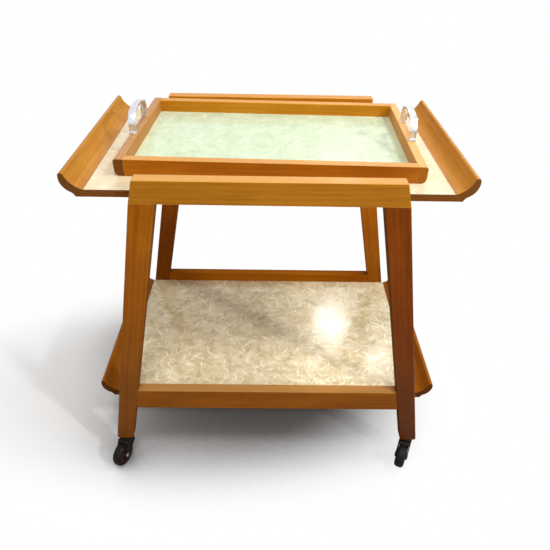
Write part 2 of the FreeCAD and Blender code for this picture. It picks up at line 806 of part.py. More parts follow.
def quadrant_stay(label, end):
    """Flat steel quarter ring about the hinge axis, with a foot under the leaf."""
    body = new_body(label)
    inner = "(stay_radius - stay_depth / 2)"
    outer = "(stay_radius + stay_depth / 2)"
    foot_top = BOARD_UNDER
    foot_under = f"({BOARD_UNDER} - stay_foot_thick)"
    rise = f"({foot_under} - {HINGE_UP})"

    def reach(radius):
        """Return X where an arc about the hinge meets the underside of the foot."""
        return signed(end, f"leaf_joint + sqrt({radius}^2 - {rise}^2)")

    def tip(radius):
        """Return the free end of an arc about the hinge."""
        across = signed(end, f"leaf_joint + {radius} * cos(stay_end_angle)")
        return across, f"({HINGE_UP} - {radius} * sin(stay_end_angle))"

    corners = [(reach(inner), foot_under), (reach(outer), foot_under), tip(outer), tip(inner)]
    turn = "-" if end > 0 else ""
    back = "" if end > 0 else "-"
    arcs = {1: turn + outer, 3: back + inner}
    pad(body, outline(body, "XZ", corners, arcs=arcs), "stay_thick", 0)
    near = signed(end, "leaf_joint + stay_foot_start")
    far = signed(end, "leaf_joint + stay_foot_start + stay_foot_length")
    low, high = (near, far) if end > 0 else (far, near)
    foot = rectangle(body, "XY", (low, "-stay_foot_width / 2"), (high, "stay_foot_width / 2"), foot_under)
    foot = pad(body, foot, "stay_foot_thick", 1)
    foot_side = size("stay_foot_width / 2") - NEAR
    round_edges(body, foot, "stay_foot_round", lambda e, m: (
        runs_along(e, ALONG_Z) and abs(m.y) > foot_side))
    holes = circles(body, "XY", stay_foot_screws(end), "screw_radius + screw_slack", foot_top)
    pocket(body, holes, "2 * stay_foot_thick", -1)
    return body


def stay_foot_screws(end):
    """Say where the stay's two foot screws stand, outside the ring's own width."""
    near = "leaf_joint + stay_foot_start + stay_screw_inset"
    far = "leaf_joint + stay_foot_start + stay_foot_length - stay_screw_inset"
    return [(signed(end, spot), "0") for spot in (near, far)]


KEEPER_MIDDLE = "(leaf_joint - bearer_setback - keeper_length / 2)"
STAY_LOWEST = f"({HINGE_UP} - stay_radius - stay_depth / 2)"
KEEPER_SLOT_LOW = f"({STAY_LOWEST} - keeper_slack)"
KEEPER_HALF_WIDTH = "(stay_thick / 2 + keeper_slack / 2 + keeper_wall)"
KEEPER_SCREWS = ("-keeper_screw_half", "keeper_screw_half")
CLAMP_UP = f"({HINGE_UP} - stay_radius + clamp_rise)"
CLAMP_FLUTES = 8


def keeper(end):
    """Guide that the stay slides through, on a plate under the bearer."""
    low_x = f"({signed(end, KEEPER_MIDDLE)} - keeper_length / 2)"
    loop_low = f"({KEEPER_SLOT_LOW} - keeper_wall)"
    loop = block((low_x, f"-{KEEPER_HALF_WIDTH}", loop_low),
                 ("keeper_length", f"2 * {KEEPER_HALF_WIDTH}", f"{BEARER_UNDER} - {loop_low}"))
    plate_under = f"({BEARER_UNDER} - keeper_plate_thick)"
    plate = block((low_x, "-keeper_plate_half", plate_under),
                  ("keeper_length", "2 * keeper_plate_half", "keeper_plate_thick"))
    slot_half = "(stay_thick / 2 + keeper_slack / 2)"
    slot = block((f"{low_x} - run_in", f"-{slot_half}", KEEPER_SLOT_LOW),
                 ("keeper_length + 2 * run_in", f"2 * {slot_half}", f"{plate_under} - {KEEPER_SLOT_LOW}"))
    thread = rod((signed(end, KEEPER_MIDDLE), f"-{KEEPER_HALF_WIDTH} - run_in", CLAMP_UP), "Y",
                 "clamp_thread_radius + clamp_thread_slack", "keeper_wall + 2 * run_in")
    holes = [
        rod((signed(end, KEEPER_MIDDLE), y, f"{plate_under} - run_in"), "Z",
            "screw_radius + screw_slack", "keeper_plate_thick + 2 * run_in")
        for y in KEEPER_SCREWS
    ]
    return cut(joined([loop, plate]), [slot, thread] + holes)


def clamp_screw(label, end):
    """Thumbscrew with a fluted head that clamps the stay in its keeper."""
    body = new_body(label)
    tip = "(stay_thick / 2 + clamp_tip_gap)"
    neck = "(keeper_slack / 2 + stay_thick / 2 + keeper_wall + clamp_neck_gap)"
    back = f"({neck} + clamp_head_thick)"
    half_section = [
        ("0", tip),
        ("clamp_thread_radius", tip),
        ("clamp_thread_radius", neck),
        ("clamp_collar_radius", neck),
        ("clamp_head_radius", f"{neck} + clamp_collar_thick"),
        ("clamp_head_radius", f"{back} - clamp_head_chamfer"),
        ("clamp_head_radius - clamp_head_chamfer", back),
        ("0", back),
    ]
    turned = revolve(body, outline(body, "XZ", half_section))
    flute_middle = ("clamp_head_radius + clamp_flute_out", "0")
    flute = circles(body, "XY", [flute_middle], "clamp_flute_radius", f"{neck} + clamp_flute_start")
    groove = pocket(body, flute, "clamp_head_thick", 1)
    pattern = body.newObject("PartDesign::PolarPattern", "PolarPattern")
    pattern.Originals = [groove]
    z_axis = [f for f in body.Origin.OriginFeatures if f.Role == "Z_Axis"][0]
    pattern.Axis = (z_axis, [""])
    pattern.Angle = 360.0
    pattern.Occurrences = CLAMP_FLUTES
    body.Tip = pattern
    doc.recompute()
    if not body.Shape.Volume < groove.Shape.Volume - LEAST_CUT or not turned.Shape.isValid():
        raise RuntimeError(f"{label}: the flutes are missing")
    body.Placement = Placement(Vector(), Rotation(ALONG_X, 90))
    for letter, text in zip("xz", (signed(end, KEEPER_MIDDLE), CLAMP_UP)):
        body.setExpression(f".Placement.Base.{letter}", bind(text))
    return body


# ---------------------------------------------------------------- screws
def screw(place, rotation, length="screw_length"):
    """Raised-head screw: the place is under its head and the shank runs along its own -Z."""
    head_radii = ("screw_head_radius", "screw_head_radius - screw_head_taper")
    head = cone(("0", "0", "0"), Rotation(), head_radii, "screw_head_thick")
    shank = rod(("0", "0", f"-({length})"), "Z", "screw_radius", f"{length} + screw_neck")
    whole = joined([head, shank])
    set_place(whole, place, rotation)
    return whole


HEAD_DOWN = Rotation(ALONG_X, 180)
HEAD_OUT = {-1: Rotation(ALONG_Y, -90), 1: Rotation(ALONG_Y, 90)}
HINGE_SCREW_STEPS = ("-hinge_screw_step", "hinge_screw_step")


def hinge_screw_spots(middle_y):
    """Say how far along Y each of a hinge plate's screws stands."""
    return [f"({middle_y} + {step})" for step in HINGE_SCREW_STEPS]


def fixed_flap_screws(end, middle_y):
    """Screws through a fixed hinge plate into its bearer."""
    face = signed(end, f"{BEARER_OUTER} + hinge_plate")
    height = f"({HINGE_UP} - hinge_screw_out)"
    return [screw((face, y, height), HEAD_OUT[end]) for y in hinge_screw_spots(middle_y)]


def leaf_flap_screws(end, middle_y):
    """Screws through a leaf's hinge plate up into its board."""
    across = signed(end, "leaf_joint + hinge_screw_out")
    face = f"({BOARD_UNDER} - hinge_plate)"
    return [screw((across, y, face), HEAD_DOWN) for y in hinge_screw_spots(middle_y)]


def stay_screws(end):
    """Screws through a stay's foot up into the leaf."""
    face = f"({BOARD_UNDER} - stay_foot_thick)"
    return [screw((across, y, face), HEAD_DOWN) for across, y in stay_foot_screws(end)]


def keeper_screws(end):
    """Screws through a keeper's plate up into its bearer."""
    face = f"({BEARER_UNDER} - keeper_plate_thick)"
    return [screw((signed(end, KEEPER_MIDDLE), y, face), HEAD_DOWN) for y in KEEPER_SCREWS]


def handle_screw_spots(end):
    """Say where a handle's two screws stand, each in the middle of a leg of its bow."""
    return [(signed(end, HANDLE_X), signed(side, "handle_half_span - handle_thick / 2")) for side in (-1, 1)]


def handle_screws(end):
    """Long screws from under a tray end up into its handle's legs."""
    length = "(tray_height - handle_screw_sink + handle_foot_thick)"
    return [screw((across, y, "(shelf_top + handle_screw_sink)"), HEAD_DOWN, length)
            for across, y in handle_screw_spots(end)]


# ---------------------------------------------------------------- tray
def place_tray(node):
    """Set a tray piece, built about the tray's own middle, on the shelf."""
    node.Placement = Placement(Vector(), Rotation(ALONG_Z, size("tray_turn")))
    node.setExpression(".Placement.Base.x", bind("tray_centre_x"))
    node.setExpression(".Placement.Base.y", bind("tray_centre_y"))


TRAY_BASE_UNDER = "(shelf_top + tray_base_up)"
TRAY_LAMINATE_UNDER = f"({TRAY_BASE_UNDER} + tray_base_thick)"
TRAY_GROOVE_TOP = f"({TRAY_LAMINATE_UNDER} + tray_laminate_thick + tray_groove_slack)"
TRAY_GROOVE_LOW = f"({TRAY_BASE_UNDER} - tray_groove_slack)"
TRAY_END_INNER = "(tray_half_length - tray_end_thick)"
TRAY_RAIL_INNER = "(tray_half_depth - tray_rail_thick)"
HANDLE_X = "(tray_half_length - handle_inset)"


def tray_rail(label, side):
    """Front or back rail of the tray, between the ends, grooved for the base."""
    body = new_body(label)
    inner, outer = (TRAY_RAIL_INNER, "tray_half_depth")
    groove = f"({inner} + tray_groove)"
    corners = [
        (signed(side, inner), "shelf_top"),
        (signed(side, outer), "shelf_top"),
        (signed(side, outer), TRAY_TOP),
        (signed(side, inner), TRAY_TOP),
        (signed(side, inner), TRAY_GROOVE_TOP),
        (signed(side, groove), TRAY_GROOVE_TOP),
        (signed(side, groove), TRAY_GROOVE_LOW),
        (signed(side, inner), TRAY_GROOVE_LOW),
    ]
    bar = pad(body, outline(body, "YZ", corners), f"2 * {TRAY_END_INNER}", 0)
    top = size(TRAY_TOP) - NEAR
    low = size("shelf_top") + NEAR
    outside = size("tray_half_depth") - NEAR
    round_edges(body, bar, "arris", lambda e, m: runs_along(e, ALONG_X) and (
        m.z > top or m.z < low and abs(m.y) > outside))
    place_tray(body)
    return body


def tray_end(label, end):
    """End of the tray, rounded outside, with a stopped groove for the base and the handle's bores."""
    body = new_body(label)
    outer = "tray_half_length"
    corners = [
        (TRAY_END_INNER, "shelf_top"),
        (f"({outer} - tray_end_under_radius)", "shelf_top"),
        (outer, "(shelf_top + tray_end_under_radius)"),
        (outer, f"({TRAY_TOP} - tray_end_top_radius)"),
        (f"({outer} - tray_end_top_radius)", TRAY_TOP),
        (TRAY_END_INNER, TRAY_TOP),
    ]
    arcs = {1: "tray_end_under_radius", 3: "tray_end_top_radius"}
    if end < 0:
        corners = [(f"-{x}" if x[0] == "(" else f"-({x})", up) for x, up in corners]
        arcs = {number: f"-{radius}" for number, radius in arcs.items()}
    bar = pad(body, outline(body, "XZ", corners, arcs=arcs), "2 * tray_half_depth", 0)
    top = size(TRAY_TOP) - NEAR
    inside = size(TRAY_END_INNER) + NEAR
    round_edges(body, bar, "arris", lambda e, m: runs_along(e, ALONG_Y) and m.z > top and abs(m.x) < inside)
    groove_x = sorted([signed(end, TRAY_END_INNER), signed(end, f"{TRAY_END_INNER} + tray_groove")], key=size)
    groove = rectangle(body, "XZ", (groove_x[0], TRAY_GROOVE_LOW), (groove_x[1], TRAY_GROOVE_TOP))
    pocket(body, groove, f"2 * ({TRAY_RAIL_INNER} + tray_groove)", 0)
    spots = handle_screw_spots(end)
    pocket(body, circles(body, "XY", spots, "screw_radius + screw_slack", "shelf_top"), "tray_height", 1)
    heads = circles(body, "XY", spots, "screw_head_radius + handle_screw_end_gap", "shelf_top")
    pocket(body, heads, "handle_screw_sink", 1)
    place_tray(body)
    return body


def tray_panel(label, under, thick):
    """Panel held in the grooves of the tray's rails and ends."""
    body = new_body(label)
    half_x = f"({TRAY_END_INNER} + tray_groove - tray_panel_gap)"
    half_y = f"({TRAY_RAIL_INNER} + tray_groove - tray_panel_gap)"
    pad(body, rectangle(body, "XY", (f"-{half_x}", f"-{half_y}"), (half_x, half_y), under), thick, 1)
    place_tray(body)
    return body


def bow_outline(inset):
    """Return the corners and arcs of one side of the bow, inset from its outer line."""
    height = f"({TRAY_TOP} + handle_height)"
    top_centre = f"({height} - handle_top_radius)"
    apart = "(handle_top_radius - handle_corner_radius)"
    corner_y = "(handle_half_span - handle_corner_radius)"
    lift = f"sqrt({apart}^2 - {corner_y}^2)"
    top_radius = f"(handle_top_radius - {inset})"
    shoulder_y = f"({top_radius} * {corner_y} / {apart})"
    shoulder_z = f"({top_centre} + {top_radius} * {lift} / {apart})"
    side_y = f"(handle_half_span - {inset})"
    corner_z = f"({top_centre} + {lift})"
    foot_z = f"({TRAY_TOP} + handle_foot_thick - handle_foot_lap)"
    corners = [
        (side_y, foot_z), (side_y, corner_z), (shoulder_y, shoulder_z),
        (f"-{shoulder_y}", shoulder_z), (f"-{side_y}", corner_z), (f"-{side_y}", foot_z),
    ]
    return corners, f"(handle_corner_radius - {inset})", top_radius


def tray_handle(label, end):
    """Bow handle of flat strap with a cuff at each shoulder and a rounded foot under each leg."""
    body = new_body(label)
    strap(body, end)
    for side in (-1, 1):
        feet(body, end, side)
        cuff(body, end, side)
    spots = handle_screw_spots(end)
    holes = circles(body, "XY", spots, "screw_radius + handle_screw_slack", TRAY_TOP)
    pocket(body, holes, "handle_foot_thick + handle_screw_end_gap", 1)
    place_tray(body)
    return body


def strap(body, end):
    """Pad the bow's flat strap."""
    outer, outer_corner, outer_top = bow_outline("0")
    inner, inner_corner, inner_top = bow_outline("handle_thick")
    corners = outer + inner[::-1]
    arcs = {1: outer_corner, 2: outer_top, 3: outer_corner,
            7: f"-{inner_corner}", 8: f"-{inner_top}", 9: f"-{inner_corner}"}
    pad(body, outline(body, "YZ", corners, signed(end, HANDLE_X), arcs), "handle_width", 0)


def feet(body, end, side):
    """Pad the flat foot under one leg of the bow, with a rounded outer end."""
    half = "(handle_width / 2 + handle_foot_margin)"
    inner_y = "(handle_half_span - handle_thick - handle_foot_inside)"
    outer_y = f"({inner_y} + handle_foot_length - {half})"
    x = signed(end, HANDLE_X)
    low, high = f"({x} - {half})", f"({x} + {half})"
    corners = [(low, signed(side, inner_y)), (high, signed(side, inner_y)),
               (high, signed(side, outer_y)), (low, signed(side, outer_y))]
    bend = f"({ROUND_END} * {half})"
    arcs = {2: bend if side > 0 else f"-{bend}"}
    pad(body, outline(body, "XY", corners, TRAY_TOP, arcs), "handle_foot_thick", 1)


def cuff(body, end, side):
    """Pad the raised band round the strap where a leg meets the top of the bow."""
    centre_y = "(handle_half_span - handle_corner_radius)"
    lift = f"sqrt((handle_top_radius - handle_corner_radius)^2 - {centre_y}^2)"
    centre_z = f"({TRAY_TOP} + handle_height - handle_top_radius + {lift})"
    outer = "(handle_corner_radius + handle_cuff)"
    inner = "(handle_corner_radius - handle_thick - handle_cuff_inside)"

    def at(radius, angle):
        """Return a point of the bow's corner at a radius and an angle from level."""
        across = signed(side, f"{centre_y} + {radius} * cos({angle})")
        return across, f"({centre_z} + {radius} * sin({angle}))"

    corners = [at(outer, "cuff_low_angle"), at(outer, "cuff_high_angle"),
               at(inner, "cuff_high_angle"), at(inner, "cuff_low_angle")]
    arcs = {0: outer, 2: f"-{inner}"} if side > 0 else {0: f"-{outer}", 2: inner}
    band = outline(body, "YZ", corners, signed(end, HANDLE_X), arcs)
    pad(body, band, "handle_width + 2 * handle_cuff", 0)


# ---------------------------------------------------------------- castors
AXLE_UP = "wheel_radius"


def place_castor(node, end, side, heading):
    """Stand a castor piece, built about its own swivel axis, under its leg."""
    node.Placement = Placement(Vector(), Rotation(ALONG_Z, heading))
    node.setExpression(".Placement.Base.x", bind(signed(end, "castor_x")))
    node.setExpression(".Placement.Base.y", bind(signed(side, FRAME_MIDDLE)))


def castor_fork(label, end, side, heading):
    """Pressed hood with two cheeks for the axle, its swivel race and its stem."""
    body = new_body(label)

    def at_end(angle):
        """Return a point of a cheek's round end at an angle from level."""
        across = f"(castor_trail + cheek_end_radius * cos({angle}))"
        return across, f"({AXLE_UP} + cheek_end_radius * sin({angle}))"

    corners = [
        ("-hood_back", "(hood_top - hood_round)"),
        ("-hood_back", "(hood_top - hood_back_drop)"),
        at_end("cheek_back_angle"),
        at_end("cheek_front_angle"),
        ("hood_front", "(hood_top - hood_front_drop)"),
        ("hood_front", "(hood_top - hood_skirt)"),
        ("(hood_front - hood_skirt)", "hood_top"),
        ("(hood_round - hood_back)", "hood_top"),
    ]
    arcs = {2: "cheek_end_radius", 5: "hood_skirt", 7: "hood_round"}
    hood = pad(body, outline(body, "XZ", corners, arcs=arcs), "hood_width", 0)
    high = size("hood_top - hood_round") - NEAR
    cheek = size("hood_width / 2") - NEAR
    round_edges(body, hood, "hood_round", lambda e, m: m.z > high and abs(m.y) > cheek)
    lip = "(hood_top - hood_lip_drop)"
    ceiling = "(hood_top - hood_wall)"
    front_wall = "(hood_front - hood_wall)"
    past_back = "(-2 * hood_back)"
    past_front = "(3 * hood_front)"
    inside = [
        (past_back, "0"),
        (past_front, "0"),
        (past_front, lip),
        (front_wall, lip),
        (front_wall, ceiling),
        (past_back, ceiling),
    ]
    pocket(body, outline(body, "XZ", inside), "hood_width - 2 * hood_wall", 0)
    axle_bore = circles(body, "XZ", [("castor_trail", AXLE_UP)], "axle_bore_radius")
    pocket(body, axle_bore, "hood_width + 2 * run_in", 0)
    half_section = [
        ("0", "(hood_top - run_in)"),
        ("race_radius", "(hood_top - run_in)"),
        ("race_radius", "(race_top - race_chamfer)"),
        ("(race_radius - race_chamfer)", "race_top"),
        ("stem_radius", "race_top"),
        ("stem_radius", "(stem_top - stem_chamfer)"),
        ("(stem_radius - stem_chamfer)", "stem_top"),
        ("0", "stem_top"),
    ]
    revolve(body, outline(body, "XZ", half_section))
    place_castor(body, end, side, heading)
    return body


def place_wheel(node, end, side, heading):
    """Lay a piece turned about local Y in the fork, about the axle."""
    turn = Rotation(ALONG_Z, heading)
    ahead = turn.multVec(ALONG_X)
    node.Placement = Placement(Vector(), turn)
    place = (
        f"{signed(end, 'castor_x')} + {ahead.x} * castor_trail",
        f"{signed(side, FRAME_MIDDLE)} + {ahead.y} * castor_trail",
        AXLE_UP,
    )
    for letter, text in zip("xyz", place):
        node.setExpression(f".Placement.Base.{letter}", bind(text))


def castor_tyre(label, end, side, heading):
    """Hard tyre with full round shoulders.  Corners are (radius, along the axle)."""
    body = new_body(label)
    half = "(wheel_width / 2)"
    wall = "(wheel_radius - shoulder_radius)"
    tread = f"({half} - shoulder_radius)"
    corners = [
        ("rim_radius", f"-{half}"),
        (wall, f"-{half}"),
        ("wheel_radius", f"-{tread}"),
        ("wheel_radius", tread),
        (wall, half),
        ("rim_radius", half),
    ]
    revolve(body, outline(body, "XY", corners, arcs={1: "shoulder_radius", 3: "shoulder_radius"}))
    place_wheel(body, end, side, heading)
    return body


def castor_hub(label, end, side, heading):
    """Wheel centre with a boss, a recessed web on both faces and a bore for the axle."""
    body = new_body(label)
    rim = "(wheel_width / 2 - hub_rim_inset)"
    boss = "(hub_boss_width / 2)"
    web = "(wheel_width / 2 - hub_recess)"
    boss_foot = "(hub_boss_radius + hub_draft)"
    rim_inside = "(rim_radius - rim_width)"
    corners = [
        ("axle_bore_radius", f"-{boss}"),
        ("hub_boss_radius", f"-{boss}"),
        (boss_foot, f"-{web}"),
        (rim_inside, f"-{web}"),
        (rim_inside, f"-{rim}"),
        ("rim_radius", f"-{rim}"),
        ("rim_radius", rim),
        (rim_inside, rim),
        (rim_inside, web),
        (boss_foot, web),
        ("hub_boss_radius", boss),
        ("axle_bore_radius", boss),
    ]
    revolve(body, outline(body, "XY", corners))
    place_wheel(body, end, side, heading)
    return body


def castor_axle(label, end, side, heading):
    """Riveted axle with a low round head outside each cheek."""
    body = new_body(label)
    cheek = "(hood_width / 2)"
    head = f"({cheek} + axle_head_thick)"
    head_face = "(axle_head_radius - axle_head_draft)"
    corners = [
        ("0", f"-{head}"),
        (head_face, f"-{head}"),
        ("axle_head_radius", f"-{cheek}"),
        ("axle_radius", f"-{cheek}"),
        ("axle_radius", cheek),
        ("axle_head_radius", cheek),
        (head_face, head),
        ("0", head),
    ]
    revolve(body, outline(body, "XY", corners))
    place_wheel(body, end, side, heading)
    return body


def castor_socket(end, side):
    """Grip socket in the foot of a leg: a sleeve with a flange under the leg."""
    under = "socket_flange_under"
    centre = [signed(end, "castor_x"), signed(side, FRAME_MIDDLE)]
    flange = rod(centre + [under], "Z", "socket_flange_radius", f"leg_foot_up - {under}")
    sleeve = rod(centre + [under], "Z", "socket_radius", f"socket_top - {under}")
    hole_start = f"{under} - run_in"
    hole = rod(centre + [hole_start], "Z", "stem_bore_radius", f"socket_top - socket_cap - ({hole_start})")
    return cut(joined([flange, sleeve]), [hole])


# ---------------------------------------------------------------- the trolley
def build_frame():
    """Two side frames, their bearers and the dowels that hold them."""
    top_rail("front_top_rail", -1, "front_rail_top_half")
    top_rail("back_top_rail", 1, "back_rail_top_half")
    for side, depth_name in ((-1, "front"), (1, "back")):
        for name, end in SIDES.items():
            leg(f"{depth_name}_{name}_leg", end, side)
        lower_rail(f"{depth_name}_lower_rail", side)
    group("cross_bearers", [cross_bearer(end) for end in (-1, 1)])


def build_shelves():
    """Fixed upper board, lower shelf with its two coves, and both laminates."""
    upper_shelf_board()
    fixed_half = "(leaf_joint - leaf_gap)"
    sheet_of_laminate("upper_shelf_laminate", f"-{fixed_half}", fixed_half, FRAME_INNER, "shelf_top")
    body = new_body("lower_shelf_board")
    ends = (("-lower_cove_start", True), ("lower_cove_start", True))
    board_outline(body, ends, LOWER_BOARD_TOP, LOWER_BOARD_UNDER, FRAME_INNER)
    bore_board_edges(body, f"({LOWER_BOARD_UNDER} + board_thick / 2)", FRAME_INNER)
    sheet_of_laminate("lower_shelf_laminate", "-lower_cove_start", "lower_cove_start",
                      FRAME_INNER, "lower_shelf_top")
    for name, end in SIDES.items():
        cove_end(f"lower_{name}_cove", end, "lower_cove_start", "lower_shelf_top", FRAME_INNER)


def build_leaf(name, end):
    """Drop leaf: board, laminate, cove, hinge flaps, stay and screws."""
    half = f"({FRAME_INNER} - leaf_side_gap)"
    start = "(leaf_joint + leaf_gap)"
    body = new_body(f"{name}_leaf_board")
    if end > 0:
        ends = ((start, False), ("cove_start", True))
        span = (start, "cove_start")
    else:
        ends = (("-cove_start", True), (f"-{start}", False))
        span = ("-cove_start", f"-{start}")
    board_outline(body, ends, BOARD_TOP, BOARD_UNDER, half)
    sheet_of_laminate(f"{name}_leaf_laminate", span[0], span[1], half, "shelf_top")
    cove_end(f"{name}_leaf_cove", end, "cove_start", "shelf_top", half)
    group(f"{name}_leaf_hinge_flaps", [leaf_flap(end, middle) for middle in HINGE_MIDDLES])
    quadrant_stay(f"{name}_quadrant_stay", end)
    screws = [fixing for middle in HINGE_MIDDLES for fixing in leaf_flap_screws(end, middle)]
    group(f"{name}_leaf_screws", screws + stay_screws(end))


def build_hardware():
    """Fixed halves of the hinges, their pins, the stay keepers and the castor sockets."""
    places = [(end, middle) for end in (-1, 1) for middle in HINGE_MIDDLES]
    group("fixed_hinge_flaps", [fixed_flap(end, middle) for end, middle in places])
    group("hinge_pins", [hinge_pin(end, middle) for end, middle in places])
    group("stay_keepers", [keeper(end) for end in (-1, 1)])
    group("castor_sockets", [castor_socket(end, side) for end, side, _ in CASTORS.values()])
    group("frame_dowels", dowels)
    screws = [fixing for end, middle in places for fixing in fixed_flap_screws(end, middle)]
    group("frame_screws", screws + keeper_screws(-1) + keeper_screws(1))
    for name, end in SIDES.items():
        clamp_screw(f"{name}_clamp_screw", end)


def build_tray():
    """Lift-off tray: grooved rims, base, laminate, handles and the screws that hold them."""
    tray_rail("tray_front_rail", -1)
    tray_rail("tray_back_rail", 1)
    for name, end in SIDES.items():
        tray_end(f"tray_{name}_end", end)
        tray_handle(f"tray_{name}_handle", end)
    group("tray_handle_screws", [fixing for end in (-1, 1) for fixing in handle_screws(end)])
    place_tray(nodes[-1])
    tray_panel("tray_base", TRAY_BASE_UNDER, "tray_base_thick")
    tray_panel("tray_laminate", TRAY_LAMINATE_UNDER, "tray_laminate_thick")


def build_castors():
    """Four swivelling castors."""
    for name, (end, side, heading) in CASTORS.items():
        castor_fork(f"{name}_castor_fork", end, side, heading)
        castor_tyre(f"{name}_castor_tyre", end, side, heading)
        castor_hub(f"{name}_castor_hub", end, side, heading)
        castor_axle(f"{name}_castor_axle", end, side, heading)


def check_document():
    """Stop if an object failed or a sub-part has no sound shape."""
    for item in doc.Objects:
        if "Invalid" in item.State or "Error" in item.State:
            raise RuntimeError(f"{item.Label} failed: {item.State}")
    for node in nodes:
        if node.Shape.isNull() or not node.Shape.isValid() or not node.Shape.Solids:
            raise RuntimeError(f"{node.Label} has no sound solid")


build_frame()
build_shelves()
for leaf_name, leaf_end in SIDES.items():
    build_leaf(leaf_name, leaf_end)
build_hardware()
build_tray()
build_castors()
doc.recompute()
check_document()

os.makedirs("parts", exist_ok=True)
for node in nodes:
    node.Shape.exportStep(f"parts/{node.Label}.step")
print(f"{len(nodes)} nodes written")
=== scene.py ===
"""Looks of the drop leaf tea trolley: varnished timber, laminates, polished handles and castors."""
import logging
import math
from dataclasses import dataclass
from enum import Enum
from typing import Optional, Sequence

import bmesh
import bpy
from mathutils import Matrix, Vector


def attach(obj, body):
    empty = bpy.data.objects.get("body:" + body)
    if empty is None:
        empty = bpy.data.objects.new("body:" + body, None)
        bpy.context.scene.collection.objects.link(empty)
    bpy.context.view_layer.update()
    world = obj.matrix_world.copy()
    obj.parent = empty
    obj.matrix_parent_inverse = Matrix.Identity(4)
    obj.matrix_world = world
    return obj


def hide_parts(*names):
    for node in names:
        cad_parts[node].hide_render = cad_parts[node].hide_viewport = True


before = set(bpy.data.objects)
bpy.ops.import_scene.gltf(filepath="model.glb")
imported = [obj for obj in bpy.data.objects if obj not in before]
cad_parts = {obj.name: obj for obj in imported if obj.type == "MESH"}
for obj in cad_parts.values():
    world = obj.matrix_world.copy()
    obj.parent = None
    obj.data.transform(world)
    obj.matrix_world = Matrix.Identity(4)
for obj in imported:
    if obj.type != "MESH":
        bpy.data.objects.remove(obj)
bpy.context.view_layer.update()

LOG = logging.getLogger("tea_trolley")
Socket = bpy.types.NodeSocket
Colour = tuple[float, float, float]
Point = tuple[float, float, float]
Stops = Sequence[tuple[float, Colour]]

ALONG_X: Point = (1.0, 0.0, 0.0)
ALONG_Y: Point = (0.0, 1.0, 0.0)


def linear(red: int, green: int, blue: int) -> Colour:
    """Turn an 8-bit display colour into the linear colour a shader takes.

    Args:
        red: Red from 0 to 255.
        green: Green from 0 to 255.
        blue: Blue from 0 to 255.

    Returns:
        The linear red, green and blue.
    """
    def channel(value: int) -> float:
        """Linear value of one channel, by the usual display curve."""
        part = value / 255
        return part / 12.92 if part <= 0.04045 else ((part + 0.055) / 1.055) ** 2.4

    return channel(red), channel(green), channel(blue)


def scaled(colour: Colour, share: float) -> Colour:
    """Return a colour at a share of its brightness."""
    return tuple(part * share for part in colour)


class Shade(Enum):
    """Colour families that the timber was stained and varnished to."""

    HONEY = "honey"
    GOLD = "gold"
    AMBER = "amber"
    RUSSET = "russet"
    UMBER = "umber"
    BUFF = "buff"


@dataclass(frozen=True)
class Stain:
    """The tones of one colour family.

    Attributes:
        light: Colour of the palest wood.
        middle: Colour of most of the wood.
        dark: Colour of the darkest figure.
    """

    light: Colour
    middle: Colour
    dark: Colour

    def at(self, depth: float) -> "Stain":
        """Return the stain with its tones at a share of their brightness."""
        return Stain(scaled(self.light, depth), scaled(self.middle, depth), scaled(self.dark, depth))


STAINS: dict[Shade, Stain] = {
    Shade.HONEY: Stain(linear(228, 160, 62), linear(212, 142, 46), linear(168, 98, 24)),
    Shade.GOLD: Stain(linear(206, 136, 36), linear(190, 120, 24), linear(150, 84, 10)),
    Shade.AMBER: Stain(linear(188, 112, 20), linear(170, 94, 12), linear(128, 62, 6)),
    Shade.RUSSET: Stain(linear(166, 82, 14), linear(146, 66, 8), linear(104, 40, 4)),
    Shade.UMBER: Stain(linear(134, 70, 12), linear(114, 56, 8), linear(78, 32, 4)),
    Shade.BUFF: Stain(linear(232, 170, 106), linear(216, 152, 88), linear(170, 108, 52)),
}


@dataclass(frozen=True)
class Span:
    """A smooth step from one range of numbers onto another.

    Attributes:
        low: Value that gives to_low.
        high: Value that gives to_high.
        to_low: Result at low.
        to_high: Result at high.
    """

    low: float
    high: float
    to_low: float = 0.0
    to_high: float = 1.0

    def onto(self, to_low: float, to_high: float) -> "Span":
        """Return the same step onto another range."""
        return Span(self.low, self.high, to_low, to_high)


@dataclass(frozen=True)
class Mottle:
    """A fractal noise.

    Attributes:
        scale: About how many patches there are to a metre.
        detail: Octaves of finer patches.
        roughness: Strength of the finer patches, from 0 to 1.
        stretch: How fast it changes along the grain against across it; a small share draws it out.
    """

    scale: float
    detail: float = 3.0
    roughness: float = 0.5
    stretch: float = 1.0


# The range that most of a noise's values lie in, and its middle.
NOISE_RANGE = Span(0.3, 0.7)
NOISE_MIDDLE = 0.5

# How the dot product of a rounded normal and the face's own shows an edge.
EDGE_TURN = Span(0.995, 0.86)
EDGE_SAMPLES = 6

# Numbers of the Mix node's colour sockets.
MIX_FIRST, MIX_SECOND, MIX_RESULT = 6, 7, 2


